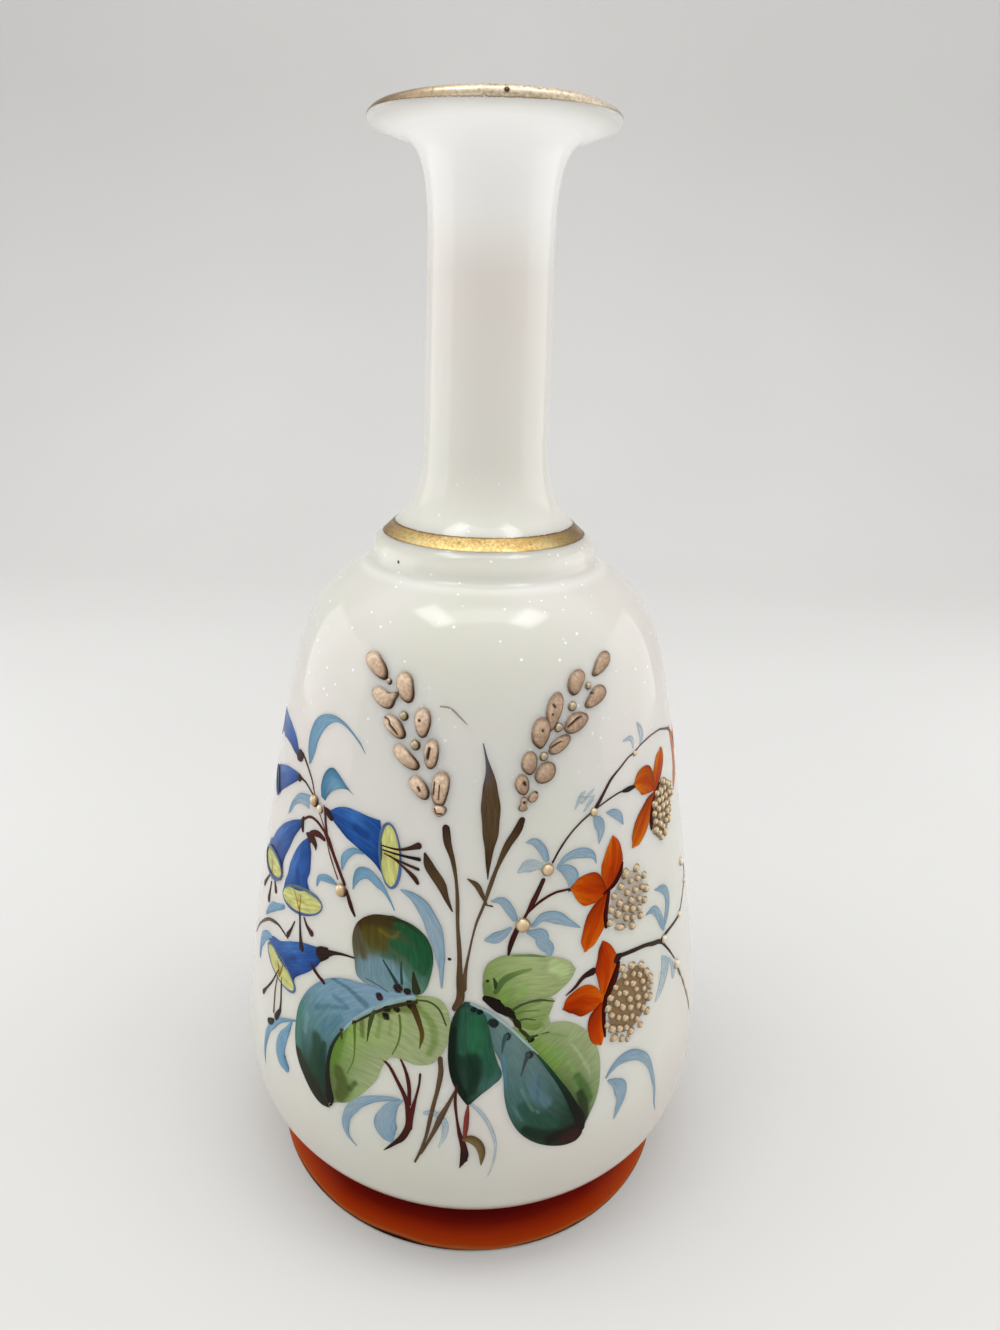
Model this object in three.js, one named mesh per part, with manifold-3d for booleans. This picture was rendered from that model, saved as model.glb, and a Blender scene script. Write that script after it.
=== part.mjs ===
// Opal glass bottle vase: a blown body on a spread foot, a stepped collar, a long neck and a
// flat flared lip. The foot is banded in red enamel, the collar and the rim are gilded, and the
// front carries an enamelled spray: two wheat ears, bellflowers, three red flowers with seed
// heads, and broad leaves.
// Millimetres, +Z up, origin at the centre of the foot on the table. The painted side faces -Y.
import * as THREE from "three";
import { mergeVertices } from "three/addons/utils/BufferGeometryUtils.js";
import Module from "manifold-3d";

const wasm = await Module();
wasm.setup();

// Foot
const footRadius = 53.9;
const footEdge = 0.7;            // small bevel round the bottom edge
const footWaistRadius = 47;      // hollow of the foot's flare, under the belly
const footHeight = 11.5;         // table to that hollow
const contactWidth = 7;          // ground ring that the vase stands on
const kickHeight = 7.5;          // how far the middle of the base is pushed up
const pontilRadius = 9;          // ground mark where the iron was broken off
const pontilDepth = 1.2;

// Body
const bellyRadius = 62.1;
const bellyHeight = 24.7;        // hollow of the foot to the widest line
const sideHeight = 97.4;         // widest line to the turn of the shoulder
const shoulderRadius = 46.5;
const shoulderHeight = 28.8;     // turn of the shoulder to the collar
const sideLean = 12;             // degrees that the side leans in at the shoulder
const wall = 3.2;
const floorHeight = 3.5;         // inside floor above the hollow of the foot

// Collar
const collarRadius = 26.4;
const collarHeight = 3.4;        // upright part of the step
const collarSlopeHeight = 7;     // height of its rounded, sloping top
const collarSlopeWidth = 5.95;   // how far that top draws in

// Neck
const neckRadius = 13.75;
const neckRootRadius = 14.4;
const neckRootHeight = 16.2;     // collar to the straight part
const neckHeight = 43;
const neckWall = 2.55;

// Lip
const lipRadius = 26.5;
const lipFlareHeight = 22;
const lipThickness = 2.5;
const lipDish = 1.7;             // how far its underside falls towards the neck
const mouthDepth = 17;           // funnel that leads into the bore

// Fired decoration
const seatGap = 0.3;             // between the glass and what is fired on to it
const gildingThickness = 0.25;
const enamelThickness = 0.35;
const mouthRimThickness = 0.55;  // raised mouths of the bellflowers
const collarBandHeight = 3.65;
const footBandFoot = 0.9;        // clear line under the red band
const footBandHeight = 9.6;
const beadHeight = 0.8;          // share of the bead's own radius
const grainHeight = 1.3;
const seedPadThickness = 0.7;
const seedRadius = 0.72;
const petalClearance = 0.4;      // between the petals and the seed head

const facets = 40;               // flats round each turned piece
const curveSteps = 5;            // chords on each curve of the outline

// Colours
const opalGlass = { color: 0xe9e8df, roughness: 0.12, metalness: 0 };
const redEnamel = { color: 0x9a2408, roughness: 0.25, metalness: 0 };
const gold = { color: 0xb08a3c, roughness: 0.35, metalness: 1 };
const wheatEnamel = { color: 0xcdb092, roughness: 0.5, metalness: 0 };
const giltBead = { color: 0xcbb78c, roughness: 0.3, metalness: 0.6 };
const orangeEnamel = { color: 0xc03a10, roughness: 0.3, metalness: 0 };
const blueEnamel = { color: 0x1c3a90, roughness: 0.3, metalness: 0 };
const greenEnamel = { color: 0x5f8a55, roughness: 0.35, metalness: 0 };
const darkGreenEnamel = { color: 0x1f5a48, roughness: 0.35, metalness: 0 };

const vase = new THREE.Group();

// Adds one finished piece to the vase.
function piece(name, geometry, finish) {
  const mesh = new THREE.Mesh(geometry, new THREE.MeshStandardMaterial(finish));
  mesh.name = name;
  vase.add(mesh);
}

// Merges shared corners, and drops the flat triangles that a lathe leaves on its axis.
function welded(geometry) {
  geometry.deleteAttribute("normal");
  geometry.deleteAttribute("uv");
  const merged = mergeVertices(geometry, 1e-4);
  const corners = merged.index.array;
  const kept = [];
  for (let i = 0; i < corners.length; i += 3) {
    const [a, b, c] = [corners[i], corners[i + 1], corners[i + 2]];
    if (a !== b && b !== c && c !== a) kept.push(a, b, c);
  }
  merged.setIndex(kept);
  merged.computeVertexNormals();
  return merged;
}

// Turns a profile of (radius, height) points about the vase's axis, with the seam at the back.
function turned(profile) {
  const geometry = new THREE.LatheGeometry(profile, facets, Math.PI);
  return welded(geometry.rotateX(Math.PI / 2));
}

function asManifold(geometry) {
  return new wasm.Manifold(new wasm.Mesh({
    numProp: 3,
    vertProperties: new Float32Array(geometry.attributes.position.array),
    triVerts: new Uint32Array(geometry.index.array),
  }));
}

function asGeometry(manifold) {
  const mesh = manifold.getMesh();
  const geometry = new THREE.BufferGeometry();
  geometry.setAttribute("position", new THREE.BufferAttribute(mesh.vertProperties, 3));
  geometry.setIndex([...mesh.triVerts]);
  geometry.computeVertexNormals();
  return geometry;
}

// Joins overlapping solids into one.
function joined(geometries) {
  return asGeometry(geometries.map(asManifold).reduce((sum, next) => sum.add(next)));
}

// Cuts one solid away from another.
function trimmed(geometry, cutter) {
  return asGeometry(asManifold(geometry).subtract(asManifold(cutter)));
}

function at(radius, height) {
  return new THREE.Vector2(radius, height);
}

function curve(...points) {
  return new THREE.CubicBezierCurve(...points);
}

// Heights up the vase
const bellyLevel = footHeight + bellyHeight;
const shoulderLevel = bellyLevel + sideHeight;
const collarLevel = shoulderLevel + shoulderHeight;
const collarTopLevel = collarLevel + collarHeight + collarSlopeHeight;
const neckFootLevel = collarTopLevel + neckRootHeight;
const neckTopLevel = neckFootLevel + neckHeight;
const lipLevel = neckTopLevel + lipFlareHeight;
const topLevel = lipLevel + lipThickness;

// Outside of the glass, as (radius, height) curves from the foot to the lip
const leanIn = Math.tan(THREE.MathUtils.degToRad(sideLean));
const lowerSide = sideHeight * 0.2;
const upperSide = sideHeight * 0.225;
const turnOver = shoulderHeight * 0.58;
const lipRound = lipThickness / 4;

const footFlare = curve(
  at(footRadius, footEdge),
  at(footRadius - (footRadius - footWaistRadius) * 0.55, footHeight * 0.42),
  at(footWaistRadius, footHeight * 0.6),
  at(footWaistRadius, footHeight),
);
const bellyUnderside = curve(
  at(footWaistRadius, footHeight),
  at(footWaistRadius + (bellyRadius - footWaistRadius) * 0.83, footHeight + bellyHeight * 0.2),
  at(bellyRadius, bellyLevel - bellyHeight * 0.47),
  at(bellyRadius, bellyLevel),
);
const side = curve(
  at(bellyRadius, bellyLevel),
  at(bellyRadius, bellyLevel + lowerSide),
  at(shoulderRadius + upperSide * leanIn, shoulderLevel - upperSide),
  at(shoulderRadius, shoulderLevel),
);
const shoulder = curve(
  at(shoulderRadius, shoulderLevel),
  at(shoulderRadius - turnOver * leanIn, shoulderLevel + turnOver),
  at(collarRadius + (shoulderRadius - collarRadius) * 0.61, collarLevel - turnOver * 0.33),
  at(collarRadius + wall * 0.4, collarLevel),
);
const collarRound = curve(
  at(collarRadius, collarLevel + collarHeight),
  at(collarRadius, collarLevel + collarHeight + collarSlopeHeight * 0.25),
  at(collarRadius - collarSlopeWidth * 0.15, collarTopLevel - collarSlopeHeight * 0.6),
  at(collarRadius - collarSlopeWidth * 0.42, collarTopLevel - collarSlopeHeight * 0.45),
);
const neckRoot = curve(
  at(collarRadius - collarSlopeWidth, collarTopLevel),
  at(collarRadius - collarSlopeWidth * 1.55, collarTopLevel + neckRootHeight * 0.18),
  at(neckRootRadius, collarTopLevel + neckRootHeight * 0.45),
  at(neckRootRadius, neckFootLevel),
);
const lipFlare = curve(
  at(neckRadius, neckTopLevel),
  at(neckRadius, neckTopLevel + lipFlareHeight * 0.52),
  at(neckRadius + lipDish * 0.5, lipLevel - lipDish * 1.5),
  at((neckRadius + lipRadius) / 2, lipLevel - lipDish),
);
const lipEdge = [
  at(lipRadius - lipRound, lipLevel),
  at(lipRadius, lipLevel + lipRound),
  at(lipRadius, topLevel - lipRound),
  at(lipRadius - lipRound, topLevel),
];
const outside = [
  ...footFlare.getPoints(curveSteps - 1),
  ...bellyUnderside.getPoints(curveSteps).slice(1),
  ...side.getPoints(curveSteps + 1).slice(1),
  ...shoulder.getPoints(curveSteps + 2).slice(1),
  at(collarRadius, collarLevel + collarHeight * 0.25),
  ...collarRound.getPoints(curveSteps - 2),
  ...neckRoot.getPoints(curveSteps),
  ...lipFlare.getPoints(curveSteps),
];

// Inside of the glass, from the lip down to the floor
const bore = neckRadius - neckWall;
const insideBelly = bellyRadius - wall;
const insideShoulder = shoulderRadius - wall;
const insideShoulderLevel = shoulderLevel - wall * leanIn;
const floorLevel = footHeight + floorHeight;
const mouth = curve(
  at(lipRadius - lipThickness, topLevel),
  at(bore + lipThickness * 1.8, topLevel - lipThickness * 0.5),
  at(bore, topLevel - mouthDepth * 0.35),
  at(bore, topLevel - mouthDepth),
);
const insideTurn = curve(
  at(bore, neckFootLevel - neckRootHeight / 2),
  at(bore + wall * 0.85, collarTopLevel - collarSlopeHeight * 0.7),
  at(insideShoulder - turnOver * leanIn, insideShoulderLevel + turnOver - wall * 0.8),
  at(insideShoulder, insideShoulderLevel),
);
const insideSide = curve(
  at(insideShoulder, insideShoulderLevel),
  at(insideShoulder + upperSide * leanIn, insideShoulderLevel - upperSide),
  at(insideBelly, bellyLevel + lowerSide),
  at(insideBelly, bellyLevel),
);
const insideHeel = curve(
  at(insideBelly, bellyLevel),
  at(insideBelly, bellyLevel - bellyHeight * 0.5),
  at((footWaistRadius + insideBelly) / 2, floorLevel + wall * 0.3),
  at(footWaistRadius * 0.75, floorLevel),
);

// Underside: a ground contact ring round a kicked-up base with its pontil mark
const contactInside = footRadius - footEdge - contactWidth;
const underside = [
  at(0, kickHeight - pontilDepth),
  at(pontilRadius, kickHeight - pontilDepth),
  at(pontilRadius + pontilDepth, kickHeight),
  at(contactInside * 0.55, kickHeight * 0.86),
  at(contactInside * 0.85, kickHeight * 0.42),
  at(contactInside, 0),
  at(footRadius - footEdge, 0),
];

piece("glass_body", turned([
  ...underside,
  ...outside,
  ...lipEdge,
  ...mouth.getPoints(curveSteps),
  ...insideTurn.getPoints(curveSteps),
  ...insideSide.getPoints(curveSteps - 1).slice(1),
  ...insideHeel.getPoints(curveSteps - 1).slice(1),
  at(0, floorLevel),
]), opalGlass);

// The part of the outside between two heights, cut off at those heights
function stretch(low, high) {
  const cut = [];
  for (let i = 1; i < outside.length; i += 1) {
    const [a, b] = [outside[i - 1], outside[i]];
    if (b.y <= low || a.y >= high) continue;
    const along = (height) => a.clone().lerp(b, THREE.MathUtils.clamp((height - a.y) / (b.y - a.y), 0, 1));
    if (!cut.length) cut.push(along(low));
    cut.push(along(high));
  }
  return cut;
}

// Moves an open line of profile points straight out from the glass.
function outwards(points, distance) {
  return points.map((point, i) => {
    const before = points[Math.max(i - 1, 0)];
    const after = points[Math.min(i + 1, points.length - 1)];
    const along = after.clone().sub(before).normalize();
    return at(point.x + along.y * distance, point.y - along.x * distance);
  });
}

// A fired film: a thin turned band that follows the glass
function film(points, thickness) {
  const inner = outwards(points, seatGap);
  const outer = outwards(points, seatGap + thickness);
  return turned([...outer, ...inner.reverse(), outer[0]]);
}

const footBand = stretch(footBandFoot, footBandFoot + footBandHeight);
piece("foot_enamel_band", film(footBand, enamelThickness), redEnamel);
const collarBand = stretch(collarTopLevel - collarBandHeight, collarTopLevel);
piece("collar_gilding", film(collarBand, gildingThickness), gold);
const underLip = at(lipRadius - lipThickness, lipLevel - lipDish * 0.2);
const overLip = at(lipRadius - lipThickness * 0.8, topLevel);
piece("rim_gilding", film([underLip, ...lipEdge, overLip], gildingThickness), gold);

// Radius of the outside of the glass at a height on the body
function glassAt(height) {
  const above = outside.findIndex((point) => point.y >= height);
  const [a, b] = [outside[above - 1], outside[above]];
  return a.x + (b.x - a.x) * (height - a.y) / (b.y - a.y);
}

// How far the glass leans in at a height, as an angle
function leanAt(height) {
  const reach = 2;
  return Math.atan2(glassAt(height - reach) - glassAt(height + reach), 2 * reach);
}

// The spray is drawn flat in millimetres, for a vase whose collar is 162.4 mm up: x runs along the
// glass from the front line, and y is the height above the table. On a taller or shorter vase the
// whole drawing grows or shrinks. This takes a point of it to its place off the glass.
const drawingScale = collarLevel / 162.4;
function onGlass(x, y, out) {
  const height = y * drawingScale;
  const [radius, lean] = [glassAt(height), leanAt(height)];
  const turn = x * drawingScale / radius;
  const reach = radius + out * Math.cos(lean);
  return [reach * Math.sin(turn), -reach * Math.cos(turn), height + out * Math.sin(lean)];
}

// Lays a small piece of relief (x right, y up, z out) on the glass with its middle at a point
// of the drawing, turned by a tilt in degrees.
function laid(geometry, [x, y], tilt = 0) {
  const relief = geometry.clone().rotateZ(THREE.MathUtils.degToRad(tilt));
  const position = relief.attributes.position;
  const foreshortening = Math.cos(leanAt(y * drawingScale));
  for (let i = 0; i < position.count; i += 1) {
    const [right, up, out] = [position.getX(i), position.getY(i), position.getZ(i)];
    position.setXYZ(i, ...onGlass(x + right, y + up * foreshortening, seatGap + out));
  }
  return welded(relief);
}

// A drop of raised enamel, domed on an oval foot
function drop(length, width, height, around, rows) {
  const profile = [at(0, 0), at(1, 0)];
  for (let i = 1; i < rows; i += 1) {
    const turn = (i / rows) * Math.PI / 2;
    profile.push(at(Math.cos(turn), Math.sin(turn)));
  }
  profile.push(at(0, 1));
  const dome = new THREE.LatheGeometry(profile, around).rotateX(Math.PI / 2);
  return dome.scale(length / 2, width / 2, height);
}

// A coat of enamel inside a smooth closed outline of the drawing, thinning towards its edge.
// Rings of corners run out from the middle to the edge, on the back and then on the front.
function coat(points, around, rings) {
  const corners = points.map(([x, y]) => new THREE.Vector3(x, y, 0));
  const edge = new THREE.CatmullRomCurve3(corners, true).getSpacedPoints(around).slice(0, -1);
  if (THREE.ShapeUtils.isClockWise(edge)) edge.reverse();
  const middle = new THREE.Vector3();
  for (const corner of corners) middle.addScaledVector(corner, 1 / corners.length);
  const places = [];
  const ring = (share, out) => edge.forEach((point) => {
    const { x, y } = middle.clone().lerp(point, share);
    places.push(...onGlass(x, y, seatGap + out));
  });
  const thickness = (share) => enamelThickness * (1 - 0.6 * share * share);
  for (const front of [0, 1]) {
    places.push(...onGlass(middle.x, middle.y, seatGap + front * thickness(0)));
    for (let i = 1; i <= rings; i += 1) ring(i / rings, front * thickness(i / rings));
  }
  const faces = [];
  const frontStart = 1 + rings * around;
  for (let i = 0; i < around; i += 1) {
    const next = (i + 1) % around;
    const corner = (level, step) => 1 + (level - 1) * around + step;
    const backAndFront = (a, b, c) => faces.push(a, c, b, frontStart + a, frontStart + b, frontStart + c);
    backAndFront(0, corner(1, i), corner(1, next));
    for (let level = 2; level <= rings; level += 1) {
      backAndFront(corner(level - 1, i), corner(level, i), corner(level, next));
      backAndFront(corner(level - 1, i), corner(level, next), corner(level - 1, next));
    }
    const [a, b] = [corner(rings, i), corner(rings, next)];
    faces.push(a, b, frontStart + b, a, frontStart + b, frontStart + a);
  }
  const geometry = new THREE.BufferGeometry();
  geometry.setAttribute("position", new THREE.BufferAttribute(new Float32Array(places), 3));
  geometry.setIndex(faces);
  return welded(geometry);
}

// Wheat ears: raised grains, each [x, y, length, width, tilt]
const leftEar = [
  [-23.2, 148, 7, 2.9, -28],
  [-15.7, 144.7, 6, 4.2, -72],
  [-21.7, 141.9, 5.6, 3.2, -14],
  [-18.6, 136.5, 6, 3.1, -36],
  [-11.9, 138.2, 5.8, 3.6, -82],
  [-16, 130.7, 6.4, 2.9, -32],
  [-9.9, 131.6, 6.4, 3.2, 82],
  [-12.7, 124.6, 5.4, 2.8, -38],
  [-7.9, 125.3, 6.4, 3.2, 84],
  [-8.3, 120.3, 3, 2.6, 0],
];
const rightEar = [
  [27.2, 148.4, 6.8, 2.6, 27],
  [20.7, 145.6, 4.8, 3.2, 38],
  [26, 141.9, 5.8, 2.8, 14],
  [15.8, 141.4, 5, 2.8, 62],
  [12.5, 136.4, 5.6, 3.9, 84],
  [20.8, 137.4, 5.8, 2.9, 21],
  [17.3, 133.3, 5.2, 2.6, 28],
  [10.4, 130.4, 4.4, 3, 86],
  [14.3, 128.2, 4.8, 3.3, 28],
  [9.1, 126, 3.8, 3, 82],
  [11.7, 123.4, 2, 1.3, 20],
  [9.3, 122.4, 2, 1.8, 0],
];
for (const [ear, grains] of [["left", leftEar], ["right", rightEar]]) {
  grains.forEach(([x, y, length, width, tilt], i) => {
    const grain = drop(length, width, Math.min(grainHeight, width / 2), 10, 3);
    piece(`wheat_grain_${ear}_${i + 1}`, laid(grain, [x, y], tilt), wheatEnamel);
  });
}

// Gilt beads among the grains and at the joints of the stems, each [x, y, radius]
const earBeads = [
  [-19.8, 145.3, 0.6],
  [-15.9, 138.9, 0.9],
  [-13.3, 133.7, 1.05],
  [23.2, 144, 0.7],
  [19.6, 141.3, 0.95],
  [16.5, 137.5, 0.95],
  [13.5, 131.7, 0.9],
];
const stemBeads = [
  [-40.7, 114.5, 1.35],
  [-31.3, 97.8, 1.5],
  [15.3, 107.4, 1.35],
  [10.2, 95.8, 1.6],
  [26, 117.9, 0.9],
  [38.4, 127.3, 0.6],
];
for (const [place, beads] of [["ear", earBeads], ["stem", stemBeads]]) {
  beads.forEach(([x, y, radius], i) => {
    const bead = drop(2 * radius, 2 * radius, beadHeight * radius, 8, 2);
    piece(`gilt_bead_${place}_${i + 1}`, laid(bead, [x, y]), giltBead);
  });
}

// Seed heads: a raised pad, studded with beads that wind out from its middle as on a real head
const seedHeads = [
  { name: "upper", middle: [51.4, 111.2], width: 12, height: 12.4, seeds: 26 },
  { name: "middle", middle: [37.3, 95.6], width: 12.2, height: 13.2, seeds: 28 },
  { name: "lower", middle: [38.9, 71.4], width: 15.4, height: 18.4, seeds: 38 },
];
const goldenTurn = Math.PI * (3 - Math.sqrt(5));
for (const { name, middle: [x, y], width, height, seeds } of seedHeads) {
  const solids = [laid(drop(width, height, seedPadThickness, 18, 2), [x, y])];
  const seed = drop(2 * seedRadius, 2 * seedRadius, seedRadius + seedPadThickness, 6, 2);
  for (let i = 0; i < seeds; i += 1) {
    const share = Math.sqrt((i + 0.5) / seeds) * (1 - 2 * seedRadius / width) / 2;
    const right = share * Math.cos(i * goldenTurn) * width;
    const up = share * Math.sin(i * goldenTurn) * height;
    solids.push(laid(seed, [x + right, y + up]));
  }
  piece(`seed_head_${name}`, joined(solids), giltBead);
}

// Outline of a petal from its root to its tip, widest towards the middle
function petal([rootX, rootY], [tipX, tipY], width) {
  const along = at(tipX - rootX, tipY - rootY);
  const across = at(-along.y, along.x).normalize();
  const edge = (share, hand) => {
    const half = hand * (width / 2) * Math.sin(Math.PI * (0.15 + 0.85 * share));
    return [rootX + along.x * share + across.x * half, rootY + along.y * share + across.y * half];
  };
  const shares = [0, 0.25, 0.5, 0.75];
  return [
    ...shares.map((share) => edge(share, 1)),
    [tipX, tipY],
    ...shares.toReversed().map((share) => edge(share, -1)),
  ];
}

// Red flowers: three petals each, trimmed clear of the seed head that they hold. Each petal is
// its tip and its width.
const flowers = [
  { name: "upper", root: [46.3, 117.4], petals: [[[52, 124], 5], [[37.9, 120.4], 6.8], [[38.3, 107.9], 5.4]] },
  { name: "middle", root: [29.4, 99.9], petals: [[[31.7, 111], 6], [[21.2, 101.6], 7.4], [[25, 88.3], 5]] },
  { name: "lower", root: [29.1, 76], petals: [[[29.9, 87.9], 5.8], [[20.3, 75.2], 7], [[29.8, 63.4], 3.4]] },
];
for (const { name, root, petals } of flowers) {
  const coats = petals.map(([tip, width]) => coat(petal(root, tip, width), 14, 2));
  const head = seedHeads.find((each) => each.name === name);
  const clear = drop(head.width + 2 * petalClearance, head.height + 2 * petalClearance, 3, 18, 2);
  const cutter = laid(clear.translate(0, 0, -seatGap), head.middle);
  piece(`flower_${name}`, trimmed(joined(coats), cutter), orangeEnamel);
}

// Bellflowers: the outline of a blue trumpet, and its raised mouth as [x, y, length, width, tilt]
const bellflowers = [
  {
    trumpet: [[-49.5, 121.6], [-52.5, 124.2], [-57.1, 126.2], [-62.1, 126.3], [-67.8, 124], [-72.7, 119.5],
      [-70.5, 117], [-65.6, 120], [-60.1, 121.3], [-54.2, 120.8]],
    mouth: [-72.5, 118, 7.4, 4, 50],
  },
  {
    trumpet: [[-49, 117], [-53.3, 117.4], [-58.9, 116.3], [-64.3, 114], [-67.3, 111], [-65, 109.2],
      [-60.8, 109.8], [-56.7, 112.2], [-52.6, 114.8]],
    mouth: [-65.5, 109.6, 8, 4.2, 28],
  },
  {
    trumpet: [[-46.3, 108.6], [-51.5, 105.9], [-57.1, 102], [-63.2, 97], [-67.9, 92.8], [-62.8, 92],
      [-56.9, 93], [-53.8, 97.5], [-50.2, 102.8]],
    mouth: [-61.6, 91.4, 13, 5.6, 8],
  },
  {
    trumpet: [[-42.9, 105.6], [-46.7, 101.4], [-50.3, 96.5], [-52.4, 91.5], [-51.9, 88.4], [-47.9, 89.5],
      [-43, 93.5], [-41.8, 98], [-41.7, 102.8]],
    mouth: [-45, 90.1, 16.4, 6.6, 18],
  },
  {
    trumpet: [[-35.9, 113.8], [-32.1, 116], [-27.6, 116.6], [-23.8, 115.6], [-20.9, 113.2], [-19.4, 109],
      [-20.6, 105.5], [-24.1, 106.9], [-28.5, 109], [-32.7, 111.2]],
    mouth: [-18.9, 108.4, 14.4, 5.2, 92],
  },
  {
    trumpet: [[-37.5, 81.4], [-41.3, 81.3], [-46.4, 79.6], [-51.3, 77], [-56.3, 73.8], [-56.8, 71],
      [-52.7, 71], [-46.7, 71.6], [-43.2, 73.8], [-39.2, 77.5]],
    mouth: [-53.2, 69.6, 14.2, 6, -12],
  },
];
bellflowers.forEach(({ trumpet, mouth: [x, y, length, width, tilt] }, i) => {
  const rim = laid(drop(length, width, mouthRimThickness, 14, 2), [x, y], tilt);
  piece(`bellflower_${i + 1}`, joined([coat(trumpet, 18, 2), rim]), blueEnamel);
});

// Broad leaves at the foot of the spray
const leaves = [
  {
    name: "left_leaf_round",
    finish: darkGreenEnamel,
    edge: [[-17.9, 95.8], [-12.3, 93.6], [-8.9, 87.5], [-11.3, 82.6], [-15.8, 80.4], [-20.7, 80.6],
      [-25.4, 83.6], [-27.6, 89], [-24.6, 94]],
  },
  {
    name: "left_leaf_broad",
    finish: greenEnamel,
    edge: [[-12.9, 78.2], [-8.5, 78.6], [-6.2, 76], [-6.3, 70], [-8.3, 64.6], [-14.6, 61.4], [-21, 57.4],
      [-26.6, 51], [-31.7, 45.6], [-36.6, 43.6], [-41.8, 46.6], [-45.1, 53], [-45.8, 61], [-43.4, 69.5],
      [-38.6, 75.4], [-32.2, 78.4], [-25.8, 78.4], [-19.4, 77.8]],
  },
  {
    name: "right_leaf_dark",
    finish: darkGreenEnamel,
    edge: [[-3, 78], [0.5, 79], [4, 76.4], [5.7, 70.5], [5.2, 63], [2.7, 57.4], [-0.6, 55.2],
      [-3.8, 59], [-4.9, 66], [-4.5, 73.4]],
  },
  {
    name: "right_leaf_upper",
    finish: greenEnamel,
    edge: [[4.6, 78.6], [2.6, 82], [3.1, 86], [6.7, 88.8], [11.5, 89.2], [17.4, 87.2], [22.1, 83.2],
      [20.3, 79.8], [14.9, 78.4], [9.5, 78.2]],
  },
  {
    name: "right_leaf_broad",
    finish: greenEnamel,
    edge: [[8.6, 76], [14, 74.8], [20.1, 73], [25.5, 69.4], [29.5, 62.4], [30.3, 53], [29, 45.5],
      [26.2, 41.2], [21.1, 40.6], [15.6, 43.4], [11.1, 50.4], [8.4, 58], [7.4, 66], [7.5, 73]],
  },
];
for (const { name, finish, edge } of leaves) piece(name, coat(edge, 24, 2), finish);

export default vase;
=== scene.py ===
# Opal glass bottle vase with an enamelled flower spray, dressed for the camera.
# The turned pieces are in metres, +Z up, with the painted side towards -Y. The spray is drawn
# flat in millimetres and laid on the glass.
import bpy
import math
import numpy as np
from mathutils import Matrix, Vector
from mathutils.geometry import interpolate_bezier


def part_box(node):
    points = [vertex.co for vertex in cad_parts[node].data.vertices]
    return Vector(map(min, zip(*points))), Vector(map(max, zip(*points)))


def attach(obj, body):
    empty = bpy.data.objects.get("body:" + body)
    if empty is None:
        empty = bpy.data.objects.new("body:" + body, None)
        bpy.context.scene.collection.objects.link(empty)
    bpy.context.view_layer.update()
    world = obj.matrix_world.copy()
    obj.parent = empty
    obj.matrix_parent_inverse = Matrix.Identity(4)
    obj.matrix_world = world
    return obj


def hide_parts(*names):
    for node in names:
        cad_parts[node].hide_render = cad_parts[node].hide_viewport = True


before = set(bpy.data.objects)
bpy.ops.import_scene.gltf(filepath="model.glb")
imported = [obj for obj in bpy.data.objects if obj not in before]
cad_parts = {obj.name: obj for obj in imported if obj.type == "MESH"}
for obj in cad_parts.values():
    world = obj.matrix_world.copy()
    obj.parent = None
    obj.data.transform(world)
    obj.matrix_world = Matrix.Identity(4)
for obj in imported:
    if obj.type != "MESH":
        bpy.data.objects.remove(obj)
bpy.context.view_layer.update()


# Camera
# A telephone held close, a little above the collar and rolled a touch, looking down at the vase.
# Its place and lens follow the ellipses of the lip, collar and foot.
photo_width, photo_height = 1000, 1330
focal_pixels = 917.8
axis_column = 472.4                      # pixel column that the lens points at
camera_place = Vector((-0.0019, -0.2175, 0.2144))
look_down = math.radians(20.04)
camera_roll = math.radians(1.37)

bpy.ops.object.select_all(action="DESELECT")
bpy.ops.object.camera_add()
camera = bpy.context.object
camera.data.sensor_width = 36
camera.data.lens = focal_pixels / photo_height * camera.data.sensor_width
camera.data.shift_x = (photo_width / 2 - axis_column) / photo_height
camera.data.clip_start = 0.01
camera.matrix_world = (Matrix.Translation(camera_place)
                       @ Matrix.Rotation(math.pi / 2 - look_down, 4, "X")
                       @ Matrix.Rotation(camera_roll, 4, "Z"))
scene = bpy.context.scene
scene.camera = camera
scene.view_settings.view_transform = "Standard"


# Studio floor
# A plain pale sweep: a sheet that lies flat under the vase and curves up behind it.
def settle(node, inputs):
    """Sets a node's inputs, each to a plain value or to another node's output."""
    for socket, value in inputs.items():
        if isinstance(value, bpy.types.NodeSocket):
            node.id_data.links.new(value, node.inputs[socket])
        else:
            node.inputs[socket].default_value = value


def add(nodes, kind, *first, **values):
    """Adds a shader node and sets its first inputs in order, its properties and its named inputs."""
    node = nodes.new("ShaderNode" + kind)
    for key in [key for key in values if hasattr(node, key)]:
        setattr(node, key, values.pop(key))
    settle(node, {**dict(enumerate(first)), **values})
    return node


def ramp(nodes, share, stops):
    """The colour along a ramp with stops of (position, colour)."""
    node = add(nodes, "ValToRGB", share)
    while len(node.color_ramp.elements) < len(stops):
        node.color_ramp.elements.new(0.5)
    for element, (position, colour) in zip(node.color_ramp.elements, stops):
        element.position = position
        element.color = (*colour, 1)
    return node.outputs["Color"]


def noise(nodes, place, scale, detail, **values):
    """Soft noise from 0 to 1, read at a place."""
    return add(nodes, "TexNoise", place, Scale=scale, Detail=detail, **values).outputs["Fac"]


def principled(name, inputs):
    """A new material with these inputs on its Principled shader, its nodes and the shader."""
    made = bpy.data.materials.new(name)
    made.use_nodes = True
    nodes = made.node_tree.nodes
    settle(nodes["Principled BSDF"], inputs)
    return made, nodes, nodes["Principled BSDF"]


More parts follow.
